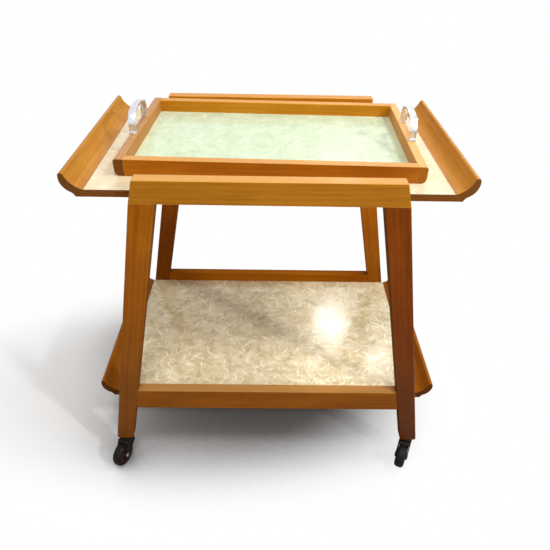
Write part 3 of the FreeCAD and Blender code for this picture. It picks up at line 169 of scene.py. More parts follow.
class ShaderGraph:
    """One material's node tree, with short calls for the nodes that the finishes need."""

    def __init__(self, name: str) -> None:
        """Start a material with a Principled shader on its output.

        Args:
            name: The material's name.
        """
        self.material = bpy.data.materials.new(name)
        self.material.use_nodes = True
        self.tree = self.material.node_tree
        self.tree.nodes.clear()
        self.output = self.tree.nodes.new("ShaderNodeOutputMaterial")
        self.shader = self.tree.nodes.new("ShaderNodeBsdfPrincipled")
        self.tree.links.new(self.shader.outputs["BSDF"], self.output.inputs["Surface"])
        texture = self.tree.nodes.new("ShaderNodeTexCoord")
        self.place = texture.outputs["Object"]
        self.normal = texture.outputs["Normal"]

    def feed(self, socket: Socket, value: object) -> None:
        """Link a socket or set its own value.

        Args:
            socket: The input to fill.
            value: Another node's socket, a number, a colour or a vector.
        """
        if isinstance(value, bpy.types.NodeSocket):
            self.tree.links.new(value, socket)
        elif isinstance(value, (int, float)) or len(value) == len(socket.default_value):
            socket.default_value = value
        else:
            socket.default_value = (*value, 1.0)

    def node(self, kind: str, **inputs: object) -> bpy.types.Node:
        """Add a node and fill its inputs by name.

        Args:
            kind: The node's type name.
            **inputs: Input values, with underscores for spaces.

        Returns:
            The new node.
        """
        made = self.tree.nodes.new(kind)
        for name, value in inputs.items():
            self.feed(made.inputs[name.replace("_", " ")], value)
        return made

    def maths(self, operation: str, first: object, second: object = 0.0, clamp: bool = False) -> Socket:
        """Combine two numbers.

        Args:
            operation: The Math node's operation.
            first: First number or socket.
            second: Second number or socket.
            clamp: Whether to keep the result between 0 and 1.

        Returns:
            The result's socket.
        """
        made = self.tree.nodes.new("ShaderNodeMath")
        made.operation = operation
        made.use_clamp = clamp
        self.feed(made.inputs[0], first)
        self.feed(made.inputs[1], second)
        return made.outputs[0]

    def plus(self, first: object, second: object, clamp: bool = False) -> Socket:
        """Add two numbers, and keep the sum between 0 and 1 when asked to."""
        return self.maths("ADD", first, second, clamp)

    def minus(self, first: object, second: object) -> Socket:
        """Take the second number from the first."""
        return self.maths("SUBTRACT", first, second)

    def times(self, first: object, second: object) -> Socket:
        """Multiply two numbers."""
        return self.maths("MULTIPLY", first, second)

    def over(self, first: object, second: object) -> Socket:
        """Divide the first number by the second."""
        return self.maths("DIVIDE", first, second)

    def larger(self, first: object, second: object) -> Socket:
        """Pick the larger of two numbers."""
        return self.maths("MAXIMUM", first, second)

    def vector(self, operation: str, first: object, second: object = (0.0, 0.0, 0.0)) -> Socket:
        """Combine two vectors.

        Args:
            operation: The Vector Math node's operation.
            first: First vector or socket.
            second: Second vector or socket.

        Returns:
            The result's socket, which is a number for a dot product or a length.
        """
        made = self.tree.nodes.new("ShaderNodeVectorMath")
        made.operation = operation
        self.feed(made.inputs[0], first)
        self.feed(made.inputs[1], second)
        return made.outputs["Value" if operation in ("DOT_PRODUCT", "LENGTH") else "Vector"]

    def join(self, across: object, along: object, up: object) -> Socket:
        """Join three numbers into a vector."""
        return self.node("ShaderNodeCombineXYZ", X=across, Y=along, Z=up).outputs[0]

    def split(self, vector: Socket) -> Sequence[Socket]:
        """Split a vector into its three numbers."""
        return self.node("ShaderNodeSeparateXYZ", Vector=vector).outputs

    def spread(self, value: Socket, span: Span) -> Socket:
        """Map a range of numbers onto another, smoothly and clamped.

        Args:
            value: The number to map.
            span: The two ranges.

        Returns:
            The mapped value's socket.
        """
        made = self.node("ShaderNodeMapRange", Value=value)
        made.interpolation_type = "SMOOTHSTEP"
        ends = {"From Min": span.low, "From Max": span.high, "To Min": span.to_low, "To Max": span.to_high}
        for name, number in ends.items():
            self.feed(made.inputs[name], number)
        return made.outputs["Result"]

    def noise(self, place: Socket, mottle: Mottle, output: str = "Fac") -> Socket:
        """Add a noise.

        Args:
            place: Where to read it.
            mottle: Its size and character.
            output: Which of the noise node's outputs to use.

        Returns:
            The output's socket.
        """
        made = self.node("ShaderNodeTexNoise", Vector=place, Scale=mottle.scale, Detail=mottle.detail,
                         Roughness=mottle.roughness)
        return made.outputs[output]

    def blend(self, factor: object, first: object, second: object) -> Socket:
        """Mix two colours.

        Args:
            factor: Share of the second colour.
            first: First colour or socket.
            second: Second colour or socket.

        Returns:
            The mixed colour's socket.
        """
        made = self.tree.nodes.new("ShaderNodeMix")
        made.data_type = "RGBA"
        self.feed(made.inputs[0], factor)
        self.feed(made.inputs[MIX_FIRST], first)
        self.feed(made.inputs[MIX_SECOND], second)
        return made.outputs[MIX_RESULT]

    def ramp(self, value: Socket, stops: Stops) -> Socket:
        """Colour a number by stops from 0 to 1.

        Args:
            value: The number's socket.
            stops: Positions with their colours, in order.

        Returns:
            The colour's socket.
        """
        made = self.node("ShaderNodeValToRGB", Fac=value)
        band = made.color_ramp
        while len(band.elements) < len(stops):
            band.elements.new(0.5)
        for element, (position, colour) in zip(band.elements, stops):
            element.position = position
            element.color = (*colour, 1.0)
        return made.outputs["Color"]

    def edges(self, radius: float) -> Socket:
        """Find the edges of the piece.

        Args:
            radius: Distance from an edge that still belongs to it, in metres.

        Returns:
            A socket that is about 1 at an edge and 0 on open surface.
        """
        rounded = self.node("ShaderNodeBevel", Radius=radius)
        rounded.samples = EDGE_SAMPLES
        flat = self.tree.nodes.new("ShaderNodeNewGeometry").outputs["Normal"]
        return self.spread(self.vector("DOT_PRODUCT", rounded.outputs[0], flat), EDGE_TURN)

    def bump(self, height: Socket, distance: float, strength: float) -> None:
        """Raise the surface by a height map, over a distance in metres."""
        raised = self.node("ShaderNodeBump", Strength=strength, Distance=distance, Height=height)
        self.feed(self.shader.inputs["Normal"], raised.outputs[0])

    def finish(self, **inputs: object) -> bpy.types.Material:
        """Fill the shader's inputs by name and return the material."""
        for name, value in inputs.items():
            self.feed(self.shader.inputs[name.replace("_", " ")], value)
        return self.material


# A grain this close to the Y axis takes its cross axes from Z.
NEAR_Y = 0.9


def grain_axes(direction: Vector) -> tuple[Vector, Vector, Vector]:
    """Work out a board's own axes: along the grain, then two across it.

    Args:
        direction: Where the grain runs.

    Returns:
        Three unit vectors at right angles.
    """
    along = direction.normalized()
    helper = Vector((0, 1, 0)) if abs(along.y) < NEAR_Y else Vector((0, 0, 1))
    across = along.cross(helper).normalized()
    return along, across, along.cross(across)


@dataclass(frozen=True)
class Pith:
    """How far the middle of the tree lay from a board, on one of the axes across the board.

    Attributes:
        mean: Mean distance, in metres.
        swing: How far a board's seed moves it, in metres.
        turn: How fast the seed moves it.
    """

    mean: float
    swing: float
    turn: float


PITH_ACROSS = Pith(0.05, 0.07, 5.1)
PITH_THROUGH = Pith(0.09, 0.06, 3.3)

# How far each unit of seed moves the figure along the grain and how far the rings sway, in metres.
SEED_SHIFT = 3.7
RING_SWAY_REACH = 0.034

# The layer of its noise that gives each ring its strength.
RING_LAYER = 0.3

# Noises of the timber: first its figure, then the marks on it.
RING_SWAY = Mottle(9.0, 2.0, stretch=0.22)
RING_STRENGTH = Mottle(0.9, 1.0)
FIBRE = Mottle(900.0, 3.0, 0.6, stretch=0.02)
STREAK = Mottle(170.0, 3.0, 0.55, stretch=0.035)
PORE = Mottle(1500.0, 1.0, stretch=0.06)
PATCH = Mottle(13.0, 3.0, 0.55, stretch=0.35)
DIRT = Mottle(55.0, 4.0, 0.7)
DENT = Mottle(210.0, 1.0)
SMEAR = Mottle(38.0, 4.0, 0.6)

# What the figure adds to the tone, where 0 is the palest wood and 1 the darkest.
LATE_WOOD_START = Span(0.25, 0.9)
LATE_WOOD_END = Span(1.0, 0.93)
RING_SHARE = Span(0.3, 0.7, 0.25, 1.0)
STREAK_TONE = Span(0.25, 0.75, -0.02, 0.26)
PATCH_TONE = Span(0.25, 0.75, -0.05, 0.38)
FIBRE_TONE = Span(0.25, 0.75, 0.02, 0.14)
MIDDLE_STOP = 0.42

# Where each mark covers the timber.
PORE_COVER = Span(0.66, 0.74)
DENT_COVER = Span(0.765, 0.8)
RUB_COVER = Span(0.38, 0.62)
GRIME_COVER = Span(0.4, 0.7)
# Painted shade: the timber is painted darker from this height down to the floor.
LOW_SHADE_HEIGHT = Span(0.62, 0.06)
END_FACING = Span(0.72, 0.9)
UP_FACING = Span(0.5, 0.9)
# Painted shade: faces that turn toward the middle of the trolley are painted darker.
INWARD_FACING = Span(-0.35, -0.8)

# How strongly each mark shows in the colour.
PORE_STRENGTH = 0.22
DENT_STRENGTH = 0.6
END_STRENGTH = 0.93
GRIME_PATCHES = 0.15
RUBBED_PALENESS = 0.35

# Width of the rubbed arrises, in metres.
RUBBED_WIDTH = 0.002

# Colours of the marks, and their brightness as shares of the stain's own.
PALE_WOOD: Colour = (0.86, 0.56, 0.24)
# Painted light: the pale colour that the upward faces are painted toward, as if lit from above.
TOP_LIGHT_COLOUR: Colour = linear(236, 186, 112)
DEEP_SHARE = 0.5
END_SHARE = 0.75
# Painted shade with dirt: the dark share that the low and inner faces are painted toward.
SHADE_AND_GRIME_SHARE = 0.12

# How far the fibre stands up and the dents go down, against the pores' depth.
FIBRE_RELIEF = 0.3
DENT_RELIEF = 3.0

# How much roughness the smears, the pores and the bare faces add to the varnish.
SMEAR_ROUGHNESS = 0.16
PORE_ROUGHNESS = 0.15
MATT_ROUGHNESS = 0.35

# Colour that the varnish gives to what it reflects.
VARNISH_TINT: Colour = (1.0, 0.6, 0.16)


class TimberGraph(ShaderGraph):
    """A shader graph with one board's own axes and the patterns that its colour and finish share."""

    def __init__(self, name: str, grain: Point, seed: float) -> None:
        """Set up the axes and patterns.

        Args:
            name: The material's name.
            grain: Where the grain runs.
            seed: Moves the figure, so that no two boards match.
        """
        super().__init__(name)
        along, across, through = grain_axes(Vector(grain))
        self.run = self.plus(self.vector("DOT_PRODUCT", self.place, along), seed * SEED_SHIFT)
        self.across = self.vector("DOT_PRODUCT", self.place, across)
        self.through = self.vector("DOT_PRODUCT", self.place, through)
        self.fibre = self.drawn(FIBRE)
        self.pores = self.spread(self.drawn(PORE), PORE_COVER)
        self.dirt = self.noise(self.place, DIRT)
        self.dents = self.spread(self.noise(self.place, DENT), DENT_COVER)
        ends = self.vector("DOT_PRODUCT", self.normal, along)
        self.end_grain = self.spread(self.maths("ABSOLUTE", ends), END_FACING)
        x, _, self.height = self.split(self.place)
        sideways, _, self.upward = self.split(self.normal)
        # Faces toward the middle of the trolley: painted shade on them, and a rougher varnish.
        self.inward = self.spread(self.times(sideways, self.maths("SIGN", x)), INWARD_FACING)

    def drawn(self, mottle: Mottle) -> Socket:
        """Add a noise that is drawn out along the grain."""
        place = self.join(self.times(self.run, mottle.stretch), self.across, self.through)
        return self.noise(place, mottle)


@dataclass(frozen=True)
class VarnishedTimber:
    """Solid timber, stained and varnished, whose figure runs through the piece.

    Attributes:
        name: The material's name.
        shade: Colour family.
        grain: Where the grain runs.
        seed: Moves the figure, so that no two boards match.
        depth: Brightness of the stain against its family's plain tones.
        end_shade: Colour family of the end grain, when it isn't the board's own.
        ring_gap: Distance between growth rings, in metres.
        figure: Contrast of the growth rings, from 0 to 1.
        smooth: Roughness of the varnish where it is cleanest.
        gloss: Strength of the varnish's reflection, 0.5 for a full coat.
        sheen: Colour of the varnish's reflection.
        wear: Strength of the worn arrises, from 0 to 1.
        bleach: How far the faces that look up are painted paler, as light from above, from 0 to 1.
        low_shade_and_grime: How much darker the timber is painted toward the floor than under the shelf, as
            shade, with patches of dirt, from 0 to 1.
        inner_shade: How much darker the faces toward the middle of the trolley are painted, as shade, from 0
            to 1.
    """

    name: str
    shade: Shade
    grain: Point
    seed: float
    depth: float = 1.0
    end_shade: Optional[Shade] = None
    ring_gap: float = 0.0075
    figure: float = 0.17
    smooth: float = 0.34
    gloss: float = 0.5
    sheen: Colour = VARNISH_TINT
    wear: float = 0.35
    bleach: float = 0.0
    low_shade_and_grime: float = 0.0
    inner_shade: float = 0.0

    def late_wood(self, graph: TimberGraph) -> Socket:
        """Build the dark bands of the growth rings, each ring with a strength of its own.

        Args:
            graph: The board's graph.

        Returns:
            The bands, from 0 in the early wood to 1 in the darkest late wood.
        """
        sway = graph.times(graph.minus(graph.drawn(RING_SWAY), NOISE_MIDDLE), RING_SWAY_REACH)
        off_across = PITH_ACROSS.mean + PITH_ACROSS.swing * math.sin(self.seed * PITH_ACROSS.turn)
        off_through = PITH_THROUGH.mean + PITH_THROUGH.swing * math.cos(self.seed * PITH_THROUGH.turn)
        across = graph.plus(graph.plus(graph.across, off_across), sway)
        through = graph.plus(graph.through, off_through)
        squares = graph.plus(graph.times(across, across), graph.times(through, through))
        rings = graph.over(graph.maths("SQRT", squares), self.ring_gap)
        phase = graph.maths("FRACT", rings)
        band = graph.times(graph.spread(phase, LATE_WOOD_START), graph.spread(phase, LATE_WOOD_END))
        ring_place = graph.join(graph.maths("FLOOR", rings), self.seed, RING_LAYER)
        return graph.times(band, graph.spread(graph.noise(ring_place, RING_STRENGTH), RING_SHARE))

    def fresh_colour(self, graph: TimberGraph, stain: Stain) -> Socket:
        """Colour the board as it left the bench: its figure, pores and end grain.

        Args:
            graph: The board's graph.
            stain: The board's own tones.

        Returns:
            The colour's socket.
        """
        tone = graph.times(self.late_wood(graph), self.figure)
        tone = graph.plus(tone, graph.spread(graph.drawn(STREAK), STREAK_TONE))
        tone = graph.plus(tone, graph.spread(graph.drawn(PATCH), PATCH_TONE))
        tone = graph.plus(tone, graph.spread(graph.fibre, FIBRE_TONE), clamp=True)
        colour = graph.ramp(tone, [(0.0, stain.light), (MIDDLE_STOP, stain.middle), (1.0, stain.dark)])
        deep = scaled(stain.dark, DEEP_SHARE)
        colour = graph.blend(graph.times(graph.pores, PORE_STRENGTH), colour, deep)
        ended = scaled(STAINS[self.end_shade].middle, END_SHARE) if self.end_shade else deep
        return graph.blend(graph.times(graph.end_grain, END_STRENGTH), colour, ended)

    def aged_and_shaded_colour(self, graph: TimberGraph, stain: Stain, colour: Socket) -> Socket:
        """Add the years as rubbed arrises, dents and patches of dirt, with a painted top light on the upward
        faces and painted shade low down and on the inner faces.

        Args:
            graph: The board's graph.
            stain: The board's own tones.
            colour: The fresh colour.

        Returns:
            The colour's socket, with its wear and its painted light and shade.
        """
        rub = graph.times(graph.edges(RUBBED_WIDTH), graph.spread(graph.dirt, RUB_COVER))
        rubbed = graph.blend(RUBBED_PALENESS, stain.light, PALE_WOOD)
        colour = graph.blend(graph.times(rub, self.wear), colour, rubbed)
        deep = scaled(stain.dark, DEEP_SHARE)
        colour = graph.blend(graph.times(graph.dents, DENT_STRENGTH), colour, deep)
        # Painted light: the upward faces are painted paler, as if lit from above.
        colour = graph.blend(graph.spread(graph.upward, UP_FACING.onto(0.0, self.bleach)), colour, TOP_LIGHT_COLOUR)
        # Painted shade: darker toward the floor.
        low = graph.spread(graph.height, LOW_SHADE_HEIGHT.onto(0.0, self.low_shade_and_grime))
        patches = graph.times(graph.spread(graph.dirt, GRIME_COVER), GRIME_PATCHES * self.low_shade_and_grime)
        # Painted shade low down and on the inner faces, with patches of dirt, all toward one dark colour.
        dull = graph.larger(graph.plus(low, patches), graph.times(graph.inward, self.inner_shade))
        return graph.blend(dull, colour, scaled(stain.middle, SHADE_AND_GRIME_SHARE))

    def roughness(self, graph: TimberGraph) -> Socket:
        """Make the varnish duller in smears and pores, on end grain and on the inner faces.

        Args:
            graph: The board's graph.

        Returns:
            The roughness's socket.
        """
        smears = NOISE_RANGE.onto(self.smooth, self.smooth + SMEAR_ROUGHNESS)
        rough = graph.spread(graph.noise(graph.place, SMEAR), smears)
        rough = graph.plus(rough, graph.times(graph.pores, PORE_ROUGHNESS))
        matt = graph.larger(graph.inward, graph.end_grain)
        return graph.plus(rough, graph.times(matt, MATT_ROUGHNESS), clamp=True)

    def build(self) -> bpy.types.Material:
        """Build the timber's shader.

        Returns:
            The material.
        """
        graph = TimberGraph(self.name, self.grain, self.seed)
        stain = STAINS[self.shade].at(self.depth)
        colour = self.aged_and_shaded_colour(graph, stain, self.fresh_colour(graph, stain))
        relief = graph.minus(graph.times(graph.fibre, FIBRE_RELIEF), graph.pores)
        relief = graph.minus(relief, graph.times(graph.dents, DENT_RELIEF))
        graph.bump(relief, distance=0.0001, strength=0.4)
        return graph.finish(Base_Color=colour, Roughness=self.roughness(graph),
                            Specular_IOR_Level=self.gloss, Specular_Tint=self.sheen)


# Plywood: its plies and glue lines on the edges, and the veneer on its faces.
PLIES = 7
PLY_WANDER = Mottle(24.0, 2.0)
PLY_WANDER_REACH = 0.35
PLY_FIBRE = Mottle(700.0, stretch=0.05)
PLY_SPECK = Mottle(900.0, 2.0)
GLUE_BELOW = Span(0.14, 0.04)
GLUE_ABOVE = Span(0.9, 0.98)
GLUE_STRENGTH = 0.8
LONG_PLY: Stops = ((0.3, linear(134, 78, 30)), (0.7, linear(154, 94, 42)))
END_PLY: Stops = ((0.3, linear(88, 44, 14)), (0.7, linear(118, 64, 24)))
GLUE_LINE: Colour = linear(56, 26, 8)
VENEER_FIGURE = Mottle(34.0, 3.0, 0.55, stretch=0.08)
VENEER_BANDS = 16.0
VENEER: Stops = ((0.0, linear(198, 146, 92)), (0.6, linear(186, 130, 76)), (1.0, linear(160, 104, 56)))
VENEER_FACING = Span(0.5, 0.8)
VENEER_SPECKS = Span(0.6, 0.8, 0.0, 0.3)
VENEER_SPECK: Colour = linear(90, 52, 24)
PLYWOOD_GLOSS = 0.14
PLYWOOD_ROUGHNESS = Span(0.3, 0.7, 0.42, 0.6)


@dataclass(frozen=True)
class LayeredBoard:
    """Plywood: thin alternate plies on its edges and a plain veneer on its faces.

    Attributes:
        name: The material's name.
        under: Height of the board's underside, in metres.
        thickness: Thickness of the board, in metres.
        seed: Moves the figure.
    """

    name: str
    under: float
    thickness: float
    seed: float

    def build(self) -> bpy.types.Material:
        """Build the plywood's shader.

        Returns:
            The material.
        """
        graph = ShaderGraph(self.name)
        x, y, z = graph.split(graph.place)
        wander = graph.minus(graph.noise(graph.place, PLY_WANDER), NOISE_MIDDLE)
        wander = graph.times(wander, PLY_WANDER_REACH)
        level = graph.plus(graph.over(graph.minus(z, self.under), self.thickness / PLIES), wander)
        phase = graph.maths("FRACT", level)
        glue = graph.larger(graph.spread(phase, GLUE_BELOW), graph.spread(phase, GLUE_ABOVE))
        turn = graph.maths("MODULO", graph.maths("FLOOR", level), 2.0)
        fine = graph.noise(graph.join(graph.times(x, PLY_FIBRE.stretch), y, z), PLY_FIBRE)
        speck = graph.noise(graph.place, PLY_SPECK)
        edge = graph.blend(turn, graph.ramp(fine, LONG_PLY), graph.ramp(speck, END_PLY))
        edge = graph.blend(graph.times(glue, GLUE_STRENGTH), edge, GLUE_LINE)

        stretched = graph.join(graph.times(graph.plus(x, self.seed), VENEER_FIGURE.stretch), y, z)
        bands = graph.maths("FRACT", graph.times(graph.noise(stretched, VENEER_FIGURE), VENEER_BANDS))
        facing = graph.spread(graph.maths("ABSOLUTE", graph.split(graph.normal)[2]), VENEER_FACING)
        colour = graph.blend(facing, edge, graph.ramp(bands, VENEER))
        colour = graph.blend(graph.spread(speck, VENEER_SPECKS), colour, VENEER_SPECK)
        graph.bump(graph.minus(speck, glue), distance=0.0001, strength=0.4)
        return graph.finish(Base_Color=colour, Roughness=graph.spread(speck, PLYWOOD_ROUGHNESS),
                            Specular_IOR_Level=PLYWOOD_GLOSS, Specular_Tint=VARNISH_TINT)


@dataclass(frozen=True)
class StrokeLayer:
    """One layer of strokes in the pearl pattern.

    Attributes:
        density: Strokes to a metre, against the sheet's own number.
        length: Half the length of a stroke, in metres.
        width: Half the width of a stroke, in metres.
        tone: What a full stroke adds to the pattern; below 0 it is dark.
        offset: Moves the layer, so that no two coincide.
    """

    density: float
    length: float
    width: float
    tone: float
    offset: float


STROKE_LAYERS = (
    StrokeLayer(0.45, 0.026, 0.006, 0.45, 15.8),
    StrokeLayer(0.8, 0.017, 0.0024, 0.8, 0.0),
    StrokeLayer(1.05, 0.013, 0.0019, 0.75, 3.1),
    StrokeLayer(1.5, 0.0085, 0.0014, 0.6, 9.4),
    StrokeLayer(0.9, 0.015, 0.003, -0.35, 6.7),
    StrokeLayer(0.5, 0.026, 0.006, -0.4, 12.9),
)

# Strokes: their bend against one over their length, how a layer's offset moves it along Y against
# X, how a stroke fades to its rim, and how strong the strokes are.
STROKE_BEND = 1.1
STROKE_SKEW = 1.7
STROKE_EDGE = Span(1.0, 0.1)
STROKE_STRENGTH = Span(0.15, 0.9, 0.15, 1.0)

# Laminate: swirls that bend its strokes, clouds under them, its middle tone, reach and gloss.
SWIRL = Mottle(34.0, 3.0, 0.55)
SWIRL_REACH = 0.008
CLOUD = Mottle(32.0, 3.0, 0.6)
CLOUD_TONE = Span(0.3, 0.7, -0.4, 0.3)
SHEET_MIDDLE = 0.4
SHEET_REACH = 0.6
SHEET_GLOSS = 0.5

# How a sheet's seed moves its pattern along Y against X.
SHEET_SKEW = 0.6

# Marks of the laminate: scuffs and smears, its roughness in them, and the brown core at its rim.
CLEANEST_SHARE = 0.8
DULLEST_SHARE = 1.35
SCUFF = Mottle(420.0, 2.0, 0.7)
SHEET_SMEAR = Mottle(11.0, 4.0, 0.6)
SMEAR_RELIEF = 6.0
SIDE_FACING = Span(0.8, 0.3)
RIM_WIDTH = 0.002
RIM_STRENGTH = 0.8
SHEET_CORE: Colour = linear(60, 34, 18)


@dataclass(frozen=True)
class PearlLaminate:
    """Hard laminate printed with short curved strokes of mother-of-pearl.

    Attributes:
        name: The material's name.
        shadow: Colour of the darkest strokes.
        middle: Colour of most of the sheet.
        light: Colour of the palest strokes.
        flakes: Number of strokes to a metre.
        contrast: Strength of the pattern, where 1 uses the strokes' own tones.
        roughness: Surface roughness.
        seed: Moves the pattern.
    """

    name: str
    shadow: Colour
    middle: Colour
    light: Colour
    flakes: float = 46.0
    contrast: float = 1.0
    roughness: float = 0.2
    seed: float = 0.0

    def strokes(self, graph: ShaderGraph, place: Socket, layer: StrokeLayer) -> Socket:
        """Build one layer of short curved strokes, each with its own slant, bend and strength.

        Args:
            graph: The material's graph.
            place: Flat coordinates over the sheet.
            layer: Size, number and offset of the strokes.

        Returns:
            The strokes, from 0 between them to 1 on the strongest.
        """
        moved = graph.vector("ADD", place, (layer.offset, layer.offset * STROKE_SKEW, 0.0))
        density = layer.density * self.flakes
        cells = graph.node("ShaderNodeTexVoronoi", Vector=moved, Scale=density, Randomness=1.0)
        cells.voronoi_dimensions = "2D"
        slant, curve, strength = graph.split(cells.outputs["Color"])
        from_middle = graph.vector("SUBTRACT", moved, cells.outputs["Position"])
        turned = graph.node(
            "ShaderNodeVectorRotate", Vector=from_middle, Angle=graph.times(slant, 2.0 * math.pi))
        turned.rotation_type = "Z_AXIS"
        along, across, _ = graph.split(turned.outputs[0])
        bend = graph.times(graph.minus(curve, NOISE_MIDDLE), STROKE_BEND / layer.length)
        bowed = graph.times(graph.times(along, along), bend)
        u = graph.over(along, layer.length)
        v = graph.over(graph.minus(across, bowed), layer.width)
        reach = graph.plus(graph.times(u, u), graph.times(v, v))
        return graph.times(graph.spread(reach, STROKE_EDGE), graph.spread(strength, STROKE_STRENGTH))

    def pattern(self, graph: ShaderGraph) -> Socket:
        """Lay the layers of strokes over soft clouds.

        Args:
            graph: The material's graph.

        Returns:
            The pattern, from 0 for the darkest strokes to 1 for the palest.
        """
        flat = graph.vector("MULTIPLY", graph.place, (1.0, 1.0, 0.0))
        flat = graph.vector("ADD", flat, (self.seed, self.seed * SHEET_SKEW, 0.0))
        swirl = graph.vector("SUBTRACT", graph.noise(flat, SWIRL, "Color"), (NOISE_MIDDLE,) * 3)
        bent = graph.vector("ADD", flat, graph.vector("MULTIPLY", swirl, (SWIRL_REACH,) * 3))
        value = graph.spread(graph.noise(flat, CLOUD), CLOUD_TONE)
        for layer in STROKE_LAYERS:
            value = graph.plus(value, graph.times(self.strokes(graph, bent, layer), layer.tone))
        value = graph.times(value, self.contrast)
        return graph.plus(graph.times(value, SHEET_REACH), SHEET_MIDDLE, clamp=True)

    def build(self) -> bpy.types.Material:
        """Build the laminate's shader.

        Returns:
            The material.
        """
        graph = ShaderGraph(self.name)
        stops = [(0.0, self.shadow), (SHEET_MIDDLE, self.middle), (1.0, self.light)]
        colour = graph.ramp(self.pattern(graph), stops)
        smear = graph.noise(graph.place, SHEET_SMEAR)
        smears = NOISE_RANGE.onto(self.roughness * CLEANEST_SHARE, self.roughness * DULLEST_SHARE)
        relief = graph.plus(graph.noise(graph.place, SCUFF), graph.times(smear, SMEAR_RELIEF))
        graph.bump(relief, distance=0.00006, strength=0.35)
        side = graph.spread(graph.maths("ABSOLUTE", graph.split(graph.normal)[2]), SIDE_FACING)
        rim = graph.larger(side, graph.times(graph.edges(RIM_WIDTH), RIM_STRENGTH))
        colour = graph.blend(rim, colour, SHEET_CORE)
        return graph.finish(Base_Color=colour, Roughness=graph.spread(smear, smears),
                            Specular_IOR_Level=SHEET_GLOSS)


# Metal: its dull patches, and scratches that run along Y.
TARNISH = Mottle(120.0, 5.0, 0.65)
TARNISH_STRENGTH = 0.8
SCRATCH = Mottle(2600.0, 2.0, 0.6, stretch=0.06)
SCRATCH_ROUGHNESS = Span(0.4, 0.75, 0.0, 0.12)
BRIGHT_EDGE_WIDTH = 0.0008
BRIGHT_EDGE_STRENGTH = 0.35


@dataclass(frozen=True)
class Metal:
    """Bare or plated metal with fine scratches and dull patches.

    Attributes:
        name: The material's name.
        bright: Colour where it is clean.
        dull: Colour where it is tarnished.
        smooth: Roughness where it is clean.
        rough: Roughness where it is dull.
        patches: Values of the tarnish noise between which it turns from clean to dull.
    """

    name: str
    bright: Colour
    dull: Colour
    smooth: float
    rough: float
    patches: Span

    def build(self) -> bpy.types.Material:
        """Build the metal's shader.

        Returns:
            The material.
        """
        graph = ShaderGraph(self.name)
        dull = graph.spread(graph.noise(graph.place, TARNISH), self.patches)
        scratch = graph.noise(graph.vector("MULTIPLY", graph.place, (1.0, SCRATCH.stretch, 1.0)), SCRATCH)
        colour = graph.blend(graph.times(dull, TARNISH_STRENGTH), self.bright, self.dull)
        edge = graph.times(graph.edges(BRIGHT_EDGE_WIDTH), BRIGHT_EDGE_STRENGTH)
        colour = graph.blend(edge, colour, self.bright)
        roughness = graph.blend(dull, (self.smooth,) * 3, (self.rough,) * 3)
        roughness = graph.plus(roughness, graph.spread(scratch, SCRATCH_ROUGHNESS))
        graph.bump(scratch, distance=0.00003, strength=0.3)
        return graph.finish(Base_Color=colour, Metallic=1.0, Roughness=roughness)


# Coating: clouds of dust, the grit of its surface, and where its edges are rubbed through.
DUST = Mottle(150.0, 5.0, 0.7)
DUST_COVER = Span(0.42, 0.7)
DUST_ROUGHNESS = Span(0.35, 0.7)
GRIT = Mottle(1400.0, 2.0, 0.6)
CHIP_WIDTH = 0.0009
CHIP_COVER = Span(0.35, 0.6)
COATING_GLOSS = 0.13


@dataclass(frozen=True)
class DarkCoating:
    """Dark paint, rubber or plastic that has rubbed through at its edges.

    Attributes:
        name: The material's name.
        base: Colour of the coating.
        dusty: Colour of the dust and scuffs on it.
        rubbed: Colour where it is rubbed through.
        smooth: Roughness where it is clean.
        rough: Roughness where it is scuffed.
        wear: Strength of the rubbed edges, from 0 to 1.
        dust: Strength of the dust, from 0 to 1.
    """

    name: str
    base: Colour
    dusty: Colour
    rubbed: Colour
    smooth: float
    rough: float
    wear: float
    dust: float

    def build(self) -> bpy.types.Material:
        """Build the coating's shader.

        Returns:
            The material.
        """
        graph = ShaderGraph(self.name)
        cloud = graph.noise(graph.place, DUST)
        film = graph.times(graph.spread(cloud, DUST_COVER), self.dust)
        colour = graph.blend(film, self.base, self.dusty)
        rub = graph.times(graph.edges(CHIP_WIDTH), graph.spread(cloud, CHIP_COVER))
        colour = graph.blend(graph.times(rub, self.wear), colour, self.rubbed)
        roughness = graph.spread(cloud, DUST_ROUGHNESS.onto(self.smooth, self.rough))
        graph.bump(graph.noise(graph.place, GRIT), distance=0.00005, strength=0.4)
        return graph.finish(Base_Color=colour, Roughness=roughness, Specular_IOR_Level=COATING_GLOSS)


def dress(node: str, material: bpy.types.Material) -> None:
    """Give a CAD node one material on all its faces.

    Args:
        node: The node's name.
        material: The material to show.
    """
    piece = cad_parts[node]
    if not piece.data.materials:
        piece.data.materials.append(material)
    for index in range(len(piece.data.materials)):
        piece.data.materials[index] = material
    LOG.info("dressed %s", node)


def dress_board(node: str, shade: Shade, grain: Point, seed: float, **finish: object) -> None:
    """Give a CAD node a board of timber of its own.

    Args:
        node: The node's name.
        shade: Colour family.
        grain: Where the grain runs.
        seed: Moves the figure.
        **finish: Other fields of the timber.
    """
    dress(node, VarnishedTimber(f"timber_{node}", shade, grain, seed, **finish).build())


# How a copy of a CAD node is cleaned: distance to weld over, in metres, and angles in degrees.
WELD_DISTANCE = 2e-6
FLAT_ANGLE = 0.5
EASED_ANGLE = 60.0
EASED_SEGMENTS = 2


